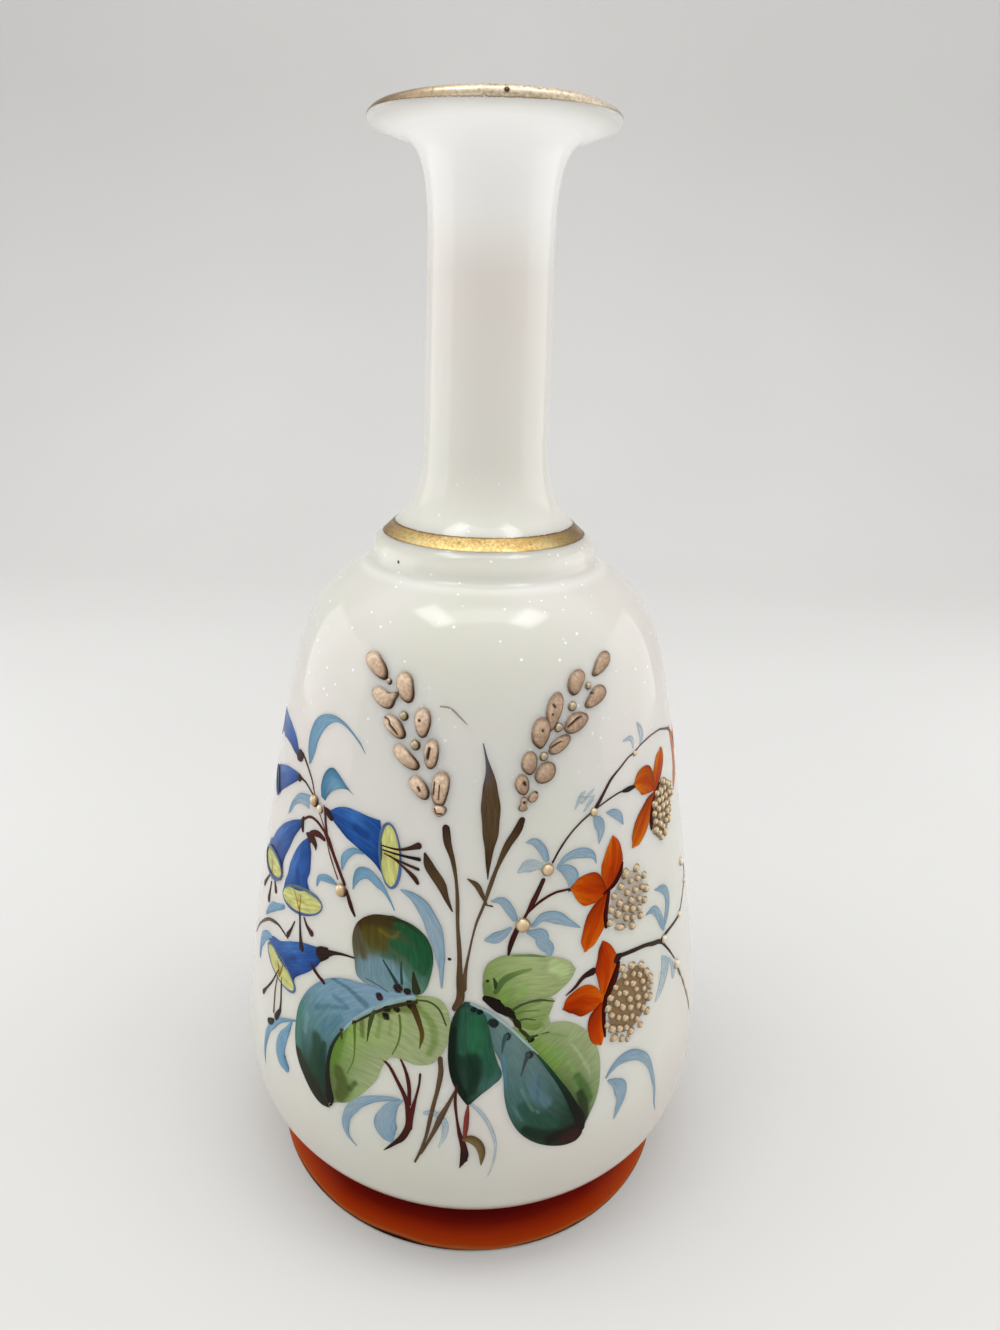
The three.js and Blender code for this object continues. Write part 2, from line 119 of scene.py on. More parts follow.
sweep_half_width, sweep_front, sweep_back, sweep_height, sweep_bend = 2.2, -1.6, 1.1, 1.8, 0.5
paper_dark, paper_pale = (0.66, 0.655, 0.64), (0.72, 0.715, 0.70)
bpy.ops.mesh.primitive_plane_add(size=1)
sweep = bpy.context.object
sweep.name = "studio_sweep"
sweep.data.transform(Matrix.Translation((0, (sweep_front + sweep_back) / 2, 0))
                     @ Matrix.Diagonal((2 * sweep_half_width, sweep_back - sweep_front, 1, 1)))
bpy.ops.object.mode_set(mode="EDIT")
bpy.ops.mesh.select_all(action="DESELECT")
bpy.ops.object.mode_set(mode="OBJECT")
for edge in sweep.data.edges:
    edge.select = all(sweep.data.vertices[i].co.y > 0 for i in edge.vertices)
for vertex in sweep.data.vertices:
    vertex.select = vertex.co.y > 0
bpy.ops.object.mode_set(mode="EDIT")
bpy.ops.mesh.extrude_region_move(TRANSFORM_OT_translate={"value": (0, 0, sweep_height)})
bpy.ops.mesh.select_all(action="SELECT")
bpy.ops.mesh.normals_make_consistent(inside=False)
bpy.ops.object.mode_set(mode="OBJECT")
bend = sweep.modifiers.new("bend", "BEVEL")
bend.width = sweep_bend
bend.segments = 24
bend.limit_method = "ANGLE"
bpy.ops.object.modifier_apply(modifier="bend")
bpy.ops.object.shade_smooth()
sweep_paper, nodes, shader = principled("sweep_paper", {"Roughness": 0.85, "Specular IOR Level": 0.2})
place = add(nodes, "TexCoord").outputs["Object"]
fibre = noise(nodes, place, 3, 2)
settle(shader, {"Base Color": ramp(nodes, fibre, [(0, paper_dark), (1, paper_pale)])})
sweep.data.materials.append(sweep_paper)


# Studio light
# A wide soft strip overhead with a soft box at each end, a large weak panel on either side and
# an even sky all round.
lamp_target = Vector((0, 0, 0.12))
for name, stand, width, height, power in (
        ("soft_box_left", (-0.46, -0.13, 1.35), 0.52, 0.27, 1.8),
        ("soft_box_right", (0.46, -0.13, 1.33), 0.42, 0.26, 1.35),
        ("soft_strip", (0.02, -0.16, 1.35), 1.00, 0.30, 1.5),
        ("soft_box_side", (-0.60, 0.08, 0.16), 0.64, 0.50, 0.95),
        ("soft_box_far_side", (0.60, 0.08, 0.16), 0.64, 0.50, 0.87)):
    bpy.ops.object.light_add(type="AREA", location=stand)
    lamp = bpy.context.object
    lamp.name = name
    lamp.data.shape = "RECTANGLE"
    lamp.data.size = width
    lamp.data.size_y = height
    lamp.data.energy = power
    lamp.rotation_euler = (lamp_target - Vector(stand)).to_track_quat("-Z", "Y").to_euler()
sky_low, sky_middle, sky_high = (0.47, 0.47, 0.4747), (0.65, 0.65, 0.6565), (1, 1, 1)
world = bpy.data.worlds.new("studio")
scene.world = world
world.use_nodes = True
nodes = world.node_tree.nodes
upward = add(nodes, "SeparateXYZ", add(nodes, "TexCoord").outputs["Generated"]).outputs["Z"]
sky = ramp(nodes, upward, [(0, sky_low), (0.4, sky_middle), (1, sky_high)])
settle(nodes["Background"], {"Color": sky, "Strength": 1.19})


# Glass body
# Foot, belly, shoulder, collar, neck and lip are one piece of opal glass, blown and finished at
# the pipe. The outline is drawn as curves of (radius, height) and spun about the vase's axis.
def radial(radius, height):
    return Vector((radius, 0, height))


def curve(points, steps):
    return interpolate_bezier(*(radial(*point) for point in points), steps + 1)


foot_radius, foot_edge, waist_radius, foot_height = 0.0539, 0.0007, 0.0470, 0.0115
film_gap = 0.00012                       # how far the belly keeps inside the solid's box
belly_radius, shoulder_radius, collar_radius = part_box("glass_body")[1].x - film_gap, 0.0465, 0.0264
belly_level = foot_height + 0.0247
shoulder_level = belly_level + 0.0974
collar_level = shoulder_level + 0.0288
slope_height, slope_width = 0.0070, 0.00595
collar_edge = collar_level + 0.0034
collar_top = collar_edge + slope_height
neck_radius, neck_root_radius = 0.01375, 0.0144
neck_foot = collar_top + 0.0162
neck_top = neck_foot + 0.0430
lip_radius, lip_thickness, lip_dish = 0.0265, 0.0025, 0.0017
rim_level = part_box("glass_body")[1].z
lip_level = rim_level - lip_thickness
wall, neck_wall = 0.0032, 0.00255
bore = neck_radius - neck_wall
floor_level = foot_height + 0.0035
lean_in = math.tan(math.radians(12))
lower_side = (shoulder_level - belly_level) * 0.2
upper_side = (shoulder_level - belly_level) * 0.225
turn_over = (collar_level - shoulder_level) * 0.58
hollow_radius, hollow_level = collar_radius + 0.0024, collar_level - 0.0001

outline = [
    *curve([(foot_radius, foot_edge),
            (foot_radius - (foot_radius - waist_radius) * 0.55, foot_height * 0.42),
            (waist_radius, foot_height * 0.6),
            (waist_radius, foot_height)], 12),
    *curve([(waist_radius, foot_height),
            (waist_radius + (belly_radius - waist_radius) * 0.83, foot_height + 0.0049),
            (belly_radius, belly_level - 0.0116),
            (belly_radius, belly_level)], 16)[1:],
    *curve([(belly_radius, belly_level),
            (belly_radius, belly_level + lower_side),
            (shoulder_radius + upper_side * lean_in, shoulder_level - upper_side),
            (shoulder_radius, shoulder_level)], 24)[1:],
    *curve([(shoulder_radius, shoulder_level),
            (shoulder_radius - turn_over * lean_in, shoulder_level + turn_over),
            (collar_radius + (shoulder_radius - collar_radius) * 0.61, collar_level - turn_over * 0.33),
            (hollow_radius, hollow_level)], 20)[1:],
    *curve([(hollow_radius, hollow_level),
            (collar_radius + 0.0011, collar_level + 0.0004),
            (collar_radius, collar_level + 0.0012),
            (collar_radius, collar_level + 0.0027)], 12)[1:],
    *curve([(collar_radius, collar_edge),
            (collar_radius, collar_edge + slope_height * 0.25),
            (collar_radius - slope_width * 0.15, collar_top - slope_height * 0.6),
            (collar_radius - slope_width * 0.42, collar_top - slope_height * 0.45)], 7),
    *curve([(collar_radius - slope_width, collar_top),
            (collar_radius - slope_width * 1.55, collar_top + 0.0029),
            (neck_root_radius, collar_top + 0.0073),
            (neck_root_radius, neck_foot)], 12),
    *curve([(neck_radius, neck_top),
            (neck_radius, neck_top + 0.0114),
            (neck_radius + lip_dish * 0.5, lip_level - lip_dish * 1.5),
            ((neck_radius + lip_radius) / 2, lip_level - lip_dish)], 14),
]
rim_round = lip_thickness / 2
rim_bulge, rim_lean = 0.00015, 0.0008    # the edge swells a little, and leans in at the top
rim_edge = [radial(lip_radius + rim_bulge - rim_round + rim_round * math.sin(turn)
                   - rim_lean * (0.5 - 0.5 * math.cos(turn)) ** 2,
                   lip_level + rim_round - rim_round * math.cos(turn))
            for turn in np.linspace(0, math.pi, 16)]
inside = [
    *curve([(lip_radius - lip_thickness, rim_level),
            (bore + lip_thickness * 1.8, rim_level - lip_thickness * 0.5),
            (bore, rim_level - 0.0060),
            (bore, rim_level - 0.0170)], 14),
    *curve([(bore, neck_foot - 0.0081),
            (bore + wall * 0.85, collar_top - slope_height * 0.7),
            (shoulder_radius - wall - turn_over * lean_in, shoulder_level + turn_over - wall),
            (shoulder_radius - wall, shoulder_level)], 14),
    *curve([(shoulder_radius - wall, shoulder_level),
            (shoulder_radius - wall + upper_side * lean_in, shoulder_level - upper_side),
            (belly_radius - wall, belly_level + lower_side),
            (belly_radius - wall, belly_level)], 12)[1:],
    *curve([(belly_radius - wall, belly_level),
            (belly_radius - wall, belly_level - 0.0124),
            ((waist_radius + belly_radius - wall) / 2, floor_level + 0.0010),
            (waist_radius * 0.75, floor_level)], 12)[1:],
    radial(0, floor_level),
]
ring_inside = foot_radius - foot_edge - 0.0070
kick_height, pontil_radius, pontil_depth = 0.0075, 0.0090, 0.0012
underside = [
    radial(0, kick_height - pontil_depth),
    radial(pontil_radius, kick_height - pontil_depth),
    radial(pontil_radius + pontil_depth, kick_height),
    *curve([(pontil_radius + pontil_depth, kick_height),
            (ring_inside * 0.55, kick_height),
            (ring_inside * 0.90, kick_height * 0.4),
            (ring_inside, 0)], 12)[1:],
    radial(foot_radius - foot_edge, 0),
]


def turned(name, profile, steps=128):
    """Draws a profile in edit mode, spins it about the vase's axis and closes the seam."""
    bpy.ops.object.select_all(action="DESELECT")
    bpy.ops.mesh.primitive_plane_add(size=0.001)
    piece = bpy.context.object
    piece.name = name
    bpy.ops.object.mode_set(mode="EDIT")
    bpy.ops.mesh.select_all(action="SELECT")
    bpy.ops.mesh.merge(type="CENTER")
    bpy.ops.transform.translate(value=profile[0])
    for before, after in zip(profile, profile[1:]):
        bpy.ops.mesh.extrude_region_move(TRANSFORM_OT_translate={"value": after - before})
    bpy.ops.mesh.select_all(action="SELECT")
    bpy.ops.mesh.spin(steps=steps, angle=2 * math.pi, center=(0, 0, 0), axis=(0, 0, 1))
    bpy.ops.mesh.select_all(action="SELECT")
    bpy.ops.mesh.remove_doubles(threshold=2e-6)
    bpy.ops.mesh.normals_make_consistent(inside=False)
    bpy.ops.object.mode_set(mode="OBJECT")
    bpy.ops.object.shade_smooth_by_angle(angle=math.radians(50))
    return piece


def placed(piece, coat, node=None):
    """Gives a piece its coat, and its place in the frame."""
    piece.data.materials.append(coat)
    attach(piece, "root")
    if node:
        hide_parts(node)


def linear(red, green, blue):
    """A colour as a painter reads it, 0 to 255, turned into the renderer's linear light."""
    return tuple((part / 255 / 12.92) if part < 10.3 else ((part / 255 + 0.055) / 1.055) ** 2.4
                 for part in (red, green, blue))


def tinted(nodes, share, stops):
    """A ramp whose colours are given from 0 to 255."""
    return ramp(nodes, share, [(position, linear(*colour)) for position, colour in stops])


def remap(nodes, value, low, high, to_low=0, to_high=1):
    """A value moved from one range to another, and held at its ends."""
    return add(nodes, "MapRange", value, low, high, to_low, to_high).outputs["Result"]


def maths(nodes, operation, *values):
    """One step of arithmetic on values."""
    return add(nodes, "Math", *values, operation=operation).outputs["Value"]


def mixed(nodes, share, under, over, blend="MIX"):
    """One colour over another, by a share."""
    return add(nodes, "MixRGB", share, under, over, blend_type=blend).outputs["Color"]


def spot(nodes, place, centre, radius, under, colour):
    """A small soft-edged mark of colour round a point, over another colour."""
    reach = add(nodes, "VectorMath", place, centre, operation="DISTANCE").outputs["Value"]
    return mixed(nodes, remap(nodes, reach, radius, radius * 0.6), under, (*linear(*colour), 1))


def bumped(nodes, height, strength, distance):
    """The normal of a surface with small relief."""
    return add(nodes, "Bump", Strength=strength, Distance=distance, Height=height).outputs["Normal"]


# Milky with faint warm and green clouds, painted white glints of seed bubbles near the shoulder,
# a speck of grit under the collar, and the slow ripples of blown glass.
opal_glass, nodes, shader = principled("opal_glass", {
    "Roughness": 0.1, "IOR": 1.5, "Subsurface Weight": 0.8, "Subsurface Radius": (1.0, 0.95, 0.85),
    "Subsurface Scale": 0.006})
place = add(nodes, "TexCoord").outputs["Object"]
level = remap(nodes, add(nodes, "SeparateXYZ", place).outputs["Z"], 0, rim_level)
# Painted light and shade by height: darker low on the belly and just under the gold, lighter on the collar's
# wall, a painted highlight line round the collar's foot and painted light on the lip.
painted_light_by_height = tinted(nodes, level, [
    (0.05, (194, 191, 180)), (0.12, (205, 203, 192)), (0.2, (219, 217, 207)), (0.35, (221, 218, 210)),
    (0.55, (219, 217, 209)), (0.632, (218, 216, 208)), (0.6335, (238, 238, 232)), (0.6345, (238, 238, 232)),
    (0.636, (218, 216, 208)), (0.642, (230, 228, 219)), (0.648, (232, 230, 221)), (0.656, (212, 210, 200)),
    (0.661, (204, 202, 192)), (0.68, (226, 224, 214)), (0.74, (229, 227, 217)), (0.88, (232, 230, 222)),
    (0.93, (254, 252, 244)), (0.986, (255, 255, 250)), (0.991, (226, 224, 216))])
milk = tinted(nodes, noise(nodes, place, 16, 2), [
    (0.35, (251, 253, 247)), (0.5, (255, 255, 255)), (0.65, (255, 249, 250))])
clouded = mixed(nodes, 1, painted_light_by_height, milk, "MULTIPLY")
seeds = add(nodes, "TexVoronoi", place, Scale=290, Randomness=1).outputs["Distance"]
near_shoulder = ramp(nodes, level, [
    (0.48, (0, 0, 0)), (0.56, (1, 1, 1)), (0.66, (1, 1, 1)), (0.74, (0, 0, 0))])
# Painted glints: small white flecks mixed into the colour near the shoulder.
painted_glint = maths(nodes, "MULTIPLY", remap(nodes, seeds, 0.12, 0.06), near_shoulder)
with_painted_glints = mixed(nodes, painted_glint, clouded, (*linear(255, 255, 252), 1))
speck_turn, speck_level, speck_size = math.radians(-45.6), 0.1657, 0.0005
speck_place = (collar_radius * math.sin(speck_turn), -collar_radius * math.cos(speck_turn), speck_level)
settle(shader, {"Base Color": spot(nodes, place, speck_place, speck_size, with_painted_glints, (52, 44, 38)),
                "Normal": bumped(nodes, noise(nodes, place, 38, 3), 0.45, 0.0004)})
glass = turned("opal_glass_body", underside + outline + rim_edge + inside)
placed(glass, opal_glass, "glass_body")


# Foot enamel
# A band of clear red enamel, flowed over the foot's flare: maroon up under the belly, partly where it
# lies thick and partly painted shade, orange where it thins towards the rim, a painted highlight line
# and a painted dark contact line at its foot, and painted lighter orange towards both sides.
def band(name, low, high, proud=0.00006, sunk=0.0004):
    """A film of colour over the part of the glass between two levels."""
    heights, widths = [point.z for point in outline], [point.x for point in outline]
    covered = [radial(float(np.interp(z, heights, widths)), z)
               for z in (low, *(z for z in heights if low < z < high), high)]
    film = [radial(point.x + proud, point.z) for point in covered]
    return turned(name, [*film, *(radial(point.x - sunk, point.z) for point in reversed(covered)), film[0]])


red_enamel, nodes, shader = principled("red_enamel", {"Roughness": 0.16, "Specular IOR Level": 0.03})
place = add(nodes, "TexCoord").outputs["Object"]
across, _, upward = add(nodes, "SeparateXYZ", place).outputs
pool = noise(nodes, add(nodes, "Mapping", place, Scale=(0.7, 0.7, 5)).outputs["Vector"], 55, 3)
sway = maths(nodes, "MULTIPLY_ADD", pool, 0.14, remap(nodes, upward, 0, foot_height))
# Painted shade and light by height: maroon under the belly, a painted dark contact line and a painted
# highlight line at the foot.
flow_and_painted_shade = tinted(nodes, sway, [
    (0.12, (30, 7, 4)), (0.135, (60, 22, 12)), (0.16, (150, 84, 44)), (0.2, (158, 54, 6)),
    (0.33, (146, 40, 2)), (0.5, (104, 13, 0)), (0.66, (78, 4, 0)), (0.95, (62, 2, 0))])
# Painted light: lighter orange towards the left and right sides.
aside = maths(nodes, "MULTIPLY", across, across)
painted_side_light = remap(nodes, aside, (foot_radius * 0.6) ** 2, foot_radius ** 2, 0, 0.5)
settle(shader, {"Base Color": mixed(nodes, painted_side_light, flow_and_painted_shade, (*linear(176, 72, 14), 1))})
placed(band("enamelled_foot", foot_edge, foot_height), red_enamel, "foot_enamel_band")


# Gilding
# A band of burnished gold on the collar's slope and a worn line of it on the lip's edge, each painted
# bright on one side and browner round the back as a painted reflection.
def gilding(name, low, high, worn, tints, painted_sheen_side, lift=0, chip=None):
    """Brushed-on gold between two levels, painted bright on one side and browner round the back as a
    painted reflection, speckled, darker in a line at the top edge, and worn into dots along its edges.
    Its lower edge may lift towards both sides, and a chip shows the dark ground."""
    made, nodes, shader = principled(name, {"Metallic": 0.75})
    place = add(nodes, "TexCoord").outputs["Object"]
    speckle = noise(nodes, place, 1500, 2)
    patches = noise(nodes, add(nodes, "Mapping", place, Scale=(1, 1, 6)).outputs["Vector"], 90, 4)
    blend = add(nodes, "Mix", data_type="FLOAT", Factor=0.45, A=patches, B=speckle).outputs["Result"]
    tint = tinted(nodes, blend, zip((0.32, 0.5, 0.66), tints))
    full = 0.023                         # how far out the gold is fully bright
    # Painted reflection: the gold is painted bright towards one side and browner round the back.
    turned_to = add(nodes, "VectorMath", place, (painted_sheen_side[0] / full, painted_sheen_side[1] / full, 0),
                    operation="DOT_PRODUCT").outputs["Value"]
    painted_sheen = ramp(nodes, remap(nodes, turned_to, -1, 1), [
        (0.3, (0.5, 0.42, 0.33)), (0.6, (0.3, 0.23, 0.16)), (0.76, (0.52, 0.44, 0.34)),
        (0.9, (0.86, 0.8, 0.7)), (0.98, (1, 1, 1))])
    gold_with_painted_sheen = mixed(nodes, 1, tint, painted_sheen, "MULTIPLY")
    across, _, upward = add(nodes, "SeparateXYZ", place).outputs
    aside = maths(nodes, "MULTIPLY", across, across)
    lower_edge = maths(nodes, "MULTIPLY_ADD", aside, lift / lip_radius ** 2, low)
    level = remap(nodes, upward, lower_edge, high)
    line = ramp(nodes, level, [
        (0, (0.32, 0.24, 0.18)), (0.12, (1, 1, 1)), (0.86, (1, 1, 1)), (0.95, (0.45, 0.36, 0.27))])
    colour = mixed(nodes, 1, gold_with_painted_sheen, line, "MULTIPLY")
    if chip:
        colour = spot(nodes, place, chip, 0.0007, colour, (66, 44, 28))
    edges = ramp(nodes, level, [
        (0, (0, 0, 0)), (0.01, (0.6, 0.6, 0.6)), (0.05, (1, 1, 1)), (0.92, (1, 1, 1)),
        (1, (0.62, 0.62, 0.62))])
    kept = maths(nodes, "MULTIPLY", speckle, edges)
    settle(shader, {"Base Color": colour,
                    "Roughness": remap(nodes, patches, 0.3, 0.7, 0.45, 0.24),
                    "Alpha": remap(nodes, kept, worn, worn + 0.04),
                    "Normal": bumped(nodes, speckle, 0.5, 0.00006)})
    return made


collar_low, collar_high = collar_top - 0.0032, collar_top - 0.0006
collar_tints = (182, 142, 84), (238, 208, 138), (255, 242, 188)
collar_gold = gilding("gilding", collar_low, collar_high, 0.28, collar_tints, (-0.17, -0.985))
placed(band("gilded_collar", collar_low, collar_high), collar_gold, "collar_gilding")


def off_rim(point, out):
    """A point of the lip's edge, moved square to its round."""
    side = Vector((point.x - lip_radius + rim_round, 0, point.z - lip_level - rim_round))
    return point + side.normalized() * out


gold_low = lip_level + 0.0001
rim_line = [point for point in rim_edge if point.z > gold_low] + inside[:2]
rim_film = [off_rim(point, 0.00006) for point in rim_line]
rim_sunk = [off_rim(point, -0.0003) for point in reversed(rim_line)]
chip_turn = math.radians(4)
chip_place = (lip_radius * math.sin(chip_turn), -lip_radius * math.cos(chip_turn), lip_level + 0.0014)
rim_tints = (166, 146, 116), (230, 212, 184), (250, 238, 218)
rim_gold = gilding("rim_gilding", gold_low, rim_level + 0.0006, 0.3, rim_tints, (0.42, -0.9),
                   lift=0.0013, chip=chip_place)
placed(turned("gilded_lip", [*rim_film, *rim_sunk, rim_film[0]]), rim_gold, "rim_gilding")


# Stalks of the spray
# Two long stalks, a spindle leaf and a dark spear leaf, brushed thin in brown and olive enamel
# and fired on. Paint is a skin some hundredths of a millimetre proud, rooted in the glass.
# The spray is drawn flat in millimetres: x along the glass from the front line, y the height.
levels = np.array([point.z for point in outline]) * 1000
radii = np.array([point.x for point in outline]) * 1000
leans = np.gradient(radii, levels)
hand = np.random.default_rng(12)

BROWN, OLIVE, TAUPE, SLATE = (50, 30, 26), (80, 62, 38), (90, 70, 52), (86, 106, 146)


def on_glass(x, y, out):
    """Points of the drawing, out millimetres proud of the glass."""
    radius = np.interp(y, levels, radii)
    lean = np.interp(y, levels, leans)
    length = np.sqrt(1 + lean ** 2)
    turn = x / radius
    reach = radius + out / length
    return np.stack((reach * np.sin(turn), -reach * np.cos(turn), y - out * lean / length), -1) / 1000


def smooth(points, step=0.5):
    """A smooth run through points (x, y) or (x, y, width), about a step apart."""
    knots = [Vector((*point, 0, 0)[:3]) for point in points]
    run = []
    for i, (a, b) in enumerate(zip(knots, knots[1:])):
        before, after = knots[max(i - 1, 0)], knots[min(i + 2, len(knots) - 1)]
        span = (b - a).xy.length
        out = (b - before) * (span / 3 / max((b - before).xy.length, 1e-6))
        back = (after - a) * (span / 3 / max((after - a).xy.length, 1e-6))
        run += interpolate_bezier(a, a + out, b - back, b, max(3, round(span / step) + 1))[:-1]
    return np.array([list(point) for point in run + [knots[-1]]])


def shades(stops, share):
    """Colours at shares along an even row of stops, as linear red, green, blue and alpha."""
    stops = [stops] if isinstance(stops, tuple) else stops
    rows = np.array([(*linear(*stop[:3]), stop[3] if len(stop) > 3 else 1) for stop in stops])
    rows = rows.repeat(2, 0) if len(rows) == 1 else rows
    return np.stack([np.interp(share, np.linspace(0, 1, len(rows)), row) for row in rows.T], -1)


def away(x, y, points, step=0.5, least=0.0):
    """How many half widths each place lies from a run of points (x, y, width)."""
    run = smooth(points, step) if len(points) > 1 else points
    return np.min([np.hypot(x - px, y - py) / max(width, least) * 2 for px, py, width in run], axis=0)


def skin(left, right, colour, other=None, lift=0.03, swell=0.05, dabs=(), pool=0.15, turned_marks=False):
    """A skin of paint between two runs of points, with softer dabs of colour inside it.
    colour runs along the left side, other along the right one, and they blend across. The paint
    pools a little along both edges, and the bristle marks run along it, or across if turned."""
    cell, dab_edge, dab_blur = 0.4, 1.45, 0.9
    along = len(left)
    widths = np.hypot(*(left - right).T)
    across = int(np.clip(round(widths.max() / cell), 4, 64))
    if np.cross(left[along // 2] - right[along // 2], left[-1] - left[0]) > 0:
        left, right, colour, other = right, left, other or colour, colour
    bpy.ops.mesh.primitive_grid_add(x_subdivisions=along - 1, y_subdivisions=across, size=1)
    piece = bpy.context.object
    mesh = piece.data
    flat = np.empty(len(mesh.vertices) * 3)
    mesh.vertices.foreach_get("co", flat)
    share, over = flat.reshape(-1, 3)[:, 0] + 0.5, flat.reshape(-1, 3)[:, 1] + 0.5
    over = (1 - np.cos(np.pi * over)) / 2
    where = share * (along - 1)
    steps = np.arange(along)
    width = np.interp(where, steps, widths)
    x, y = (np.interp(where, steps, right[:, k]) * (1 - over) + np.interp(where, steps, left[:, k]) * over
            for k in (0, 1))
    dome = np.sqrt(np.clip(1 - (2 * over - 1) ** 2, 0, 1)) * np.minimum(width, 1)
    mesh.vertices.foreach_set("co", on_glass(x, y, lift + swell * dome).ravel())
    paint = shades(colour, share) * over[:, None] + shades(other or colour, share) * (1 - over[:, None])
    for points, tint, strength in dabs:
        mix = np.clip((dab_edge - away(x, y, points, least=0.3)) / dab_blur, 0, 1)[:, None]
        mix = strength * mix * mix * (3 - 2 * mix)
        paint = paint * (1 - mix) + shades(tint, share) * mix
    edge = pool * np.abs(2 * over - 1) ** 6
    paint[:, :3] *= (1 - edge)[:, None]
    paint[:, 3] = np.clip(paint[:, 3] + edge, 0, 1)
    mesh.color_attributes.new("paint", "FLOAT_COLOR", "POINT").data.foreach_set("color", paint.ravel())
    length = np.concatenate(([0], np.cumsum(np.hypot(*np.diff((left + right) / 2, axis=0).T))))
    corners = np.empty(len(mesh.loops), dtype=np.int32)
    mesh.loops.foreach_get("vertex_index", corners)
    start = hand.uniform(0, 500)
    uv = np.stack((start + np.interp(where, steps, length), start + (over - 0.5) * width), -1)
    uv = uv[:, ::-1] if turned_marks else uv
    mesh.uv_layers[0].data.foreach_set("uv", uv[corners].ravel())
    return piece


def brush(points, colour, other=None, closed=False, **laid):
    """One stroke of a loaded brush through points (x, y, width), with rounded ends."""
    rounding, hair = ((0.22, 0.86), (0.40, 0.55), (0.48, 0.12)), 0.25
    run = smooth(points)
    for end, inner in ((0, 1), (-1, -2)):
        width = run[end, 2]
        if width > hair and not closed:
            ahead = run[end, :2] - run[inner, :2]
            ahead /= max(np.hypot(*ahead), 1e-6)
            cap = [(*(run[end, :2] + ahead * width * reach), width * share) for reach, share in rounding]
            run = np.vstack((cap[::-1], run)) if end == 0 else np.vstack((run, cap))
    middle, width = run[:, :2], run[:, 2]
    ahead = np.gradient(middle, axis=0)
    if closed:
        ahead[0] = ahead[-1] = ahead[0] + ahead[-1]
    side = np.stack((-ahead[:, 1], ahead[:, 0]), -1) / np.maximum(np.hypot(*ahead.T), 1e-6)[:, None]
    travel = np.concatenate(([0], np.cumsum(np.hypot(*np.diff(middle, axis=0).T))))
    sway = 1 + 0.05 * np.sin(travel * hand.uniform(0.7, 1.1) + hand.uniform(0, 6))
    half = side * (width * sway / 2)[:, None]
    return skin(middle + half, middle - half, colour, other, **laid)


def between(left, right, colour, other=None, **laid):
    """A broad stroke or a leaf half that fills the space between two edges."""
    edges = smooth(left), smooth(right)
    spread = np.linspace(0, 1, max(len(edge) for edge in edges))
    sides = [np.stack([np.interp(spread, np.linspace(0, 1, len(edge)), edge[:, k]) for k in (0, 1)], -1)
             for edge in edges]
    return skin(*sides, colour, other, **laid)


def joined(name, pieces):
    """Joins pieces into the first one, under a name."""
    bpy.ops.object.select_all(action="DESELECT")
    for piece in pieces:
        piece.select_set(True)
    bpy.context.view_layer.objects.active = pieces[0]
    bpy.ops.object.join()
    pieces[0].name = name
    return pieces[0]


def gather(name, skins, coat, node=None):
    """Joins the strokes of a motif and gives them their thickness, down into the glass."""
    piece = joined(name, skins)
    bpy.ops.object.mode_set(mode="EDIT")
    bpy.ops.mesh.select_all(action="SELECT")
    bpy.ops.mesh.remove_doubles(threshold=1e-6)
    bpy.ops.object.mode_set(mode="OBJECT")
    root = piece.modifiers.new("root", "SOLIDIFY")
    root.thickness = 0.0003
    root.offset = -1
    bpy.ops.object.modifier_apply(modifier="root")
    bpy.ops.object.shade_smooth_by_angle(angle=math.radians(40))
    placed(piece, coat, node)


# Bristle marks: long thin streaks along each stroke, for tone, cover and relief.
streaks = bpy.data.node_groups.new("brush_streaks", "ShaderNodeTree")
streaks.interface.new_socket("UV", in_out="INPUT", socket_type="NodeSocketVector")
for output in ("Tone", "Cover"):
    streaks.interface.new_socket(output, in_out="OUTPUT", socket_type="NodeSocketFloat")
group_in = streaks.nodes.new("NodeGroupInput")
group_out = streaks.nodes.new("NodeGroupOutput")
for output, pull, detail in (("Tone", (0.22, 1.5, 1), 5), ("Cover", (0.35, 3.6, 1), 3)):
    pulled = add(streaks.nodes, "Mapping", group_in.outputs["UV"], Scale=pull)
    settle(group_out, {output: noise(streaks.nodes, pulled.outputs["Vector"], 1, detail, Distortion=0.3)})


def scaled(nodes, colour, value):
    """A colour made lighter or darker by a value."""
    return add(nodes, "VectorMath", colour, operation="SCALE", Scale=value).outputs["Vector"]


def enamel(name, roughness=0.3, depth=0.22, thin=0.5, relief=0.3, specular=0.08, metallic=0.0, mottled=False):
    """Fired paint: its colour and cover are laid stroke by stroke in the attribute called paint,
    broken by the bristle marks, and finely mottled where it is a paste."""
    made, nodes, shader = principled(name, {
        "Roughness": roughness, "Specular IOR Level": specular, "Metallic": metallic})
    paint = add(nodes, "Attribute", attribute_name="paint").outputs
    marks = add(nodes, "Group", add(nodes, "UVMap").outputs["UV"], node_tree=streaks).outputs
    colour = scaled(nodes, paint["Color"], remap(nodes, marks["Tone"], 0.3, 0.7, 1 - depth, 1 + depth))
    if mottled:
        specks = noise(nodes, add(nodes, "TexCoord").outputs["Object"], 1500, 2)
        colour = scaled(nodes, colour, remap(nodes, specks, 0.34, 0.66, 0.8, 1.16))
    broken = maths(nodes, "MULTIPLY_ADD", marks["Cover"], -thin, 0)
    cover = add(nodes, "Math", paint["Alpha"], 1 + 0.7 * thin, broken,
                operation="MULTIPLY_ADD", use_clamp=True).outputs["Value"]
    settle(shader, {"Base Color": colour, "Alpha": cover,
                    "Normal": bumped(nodes, marks["Tone"], relief, 0.00005)})
    return made


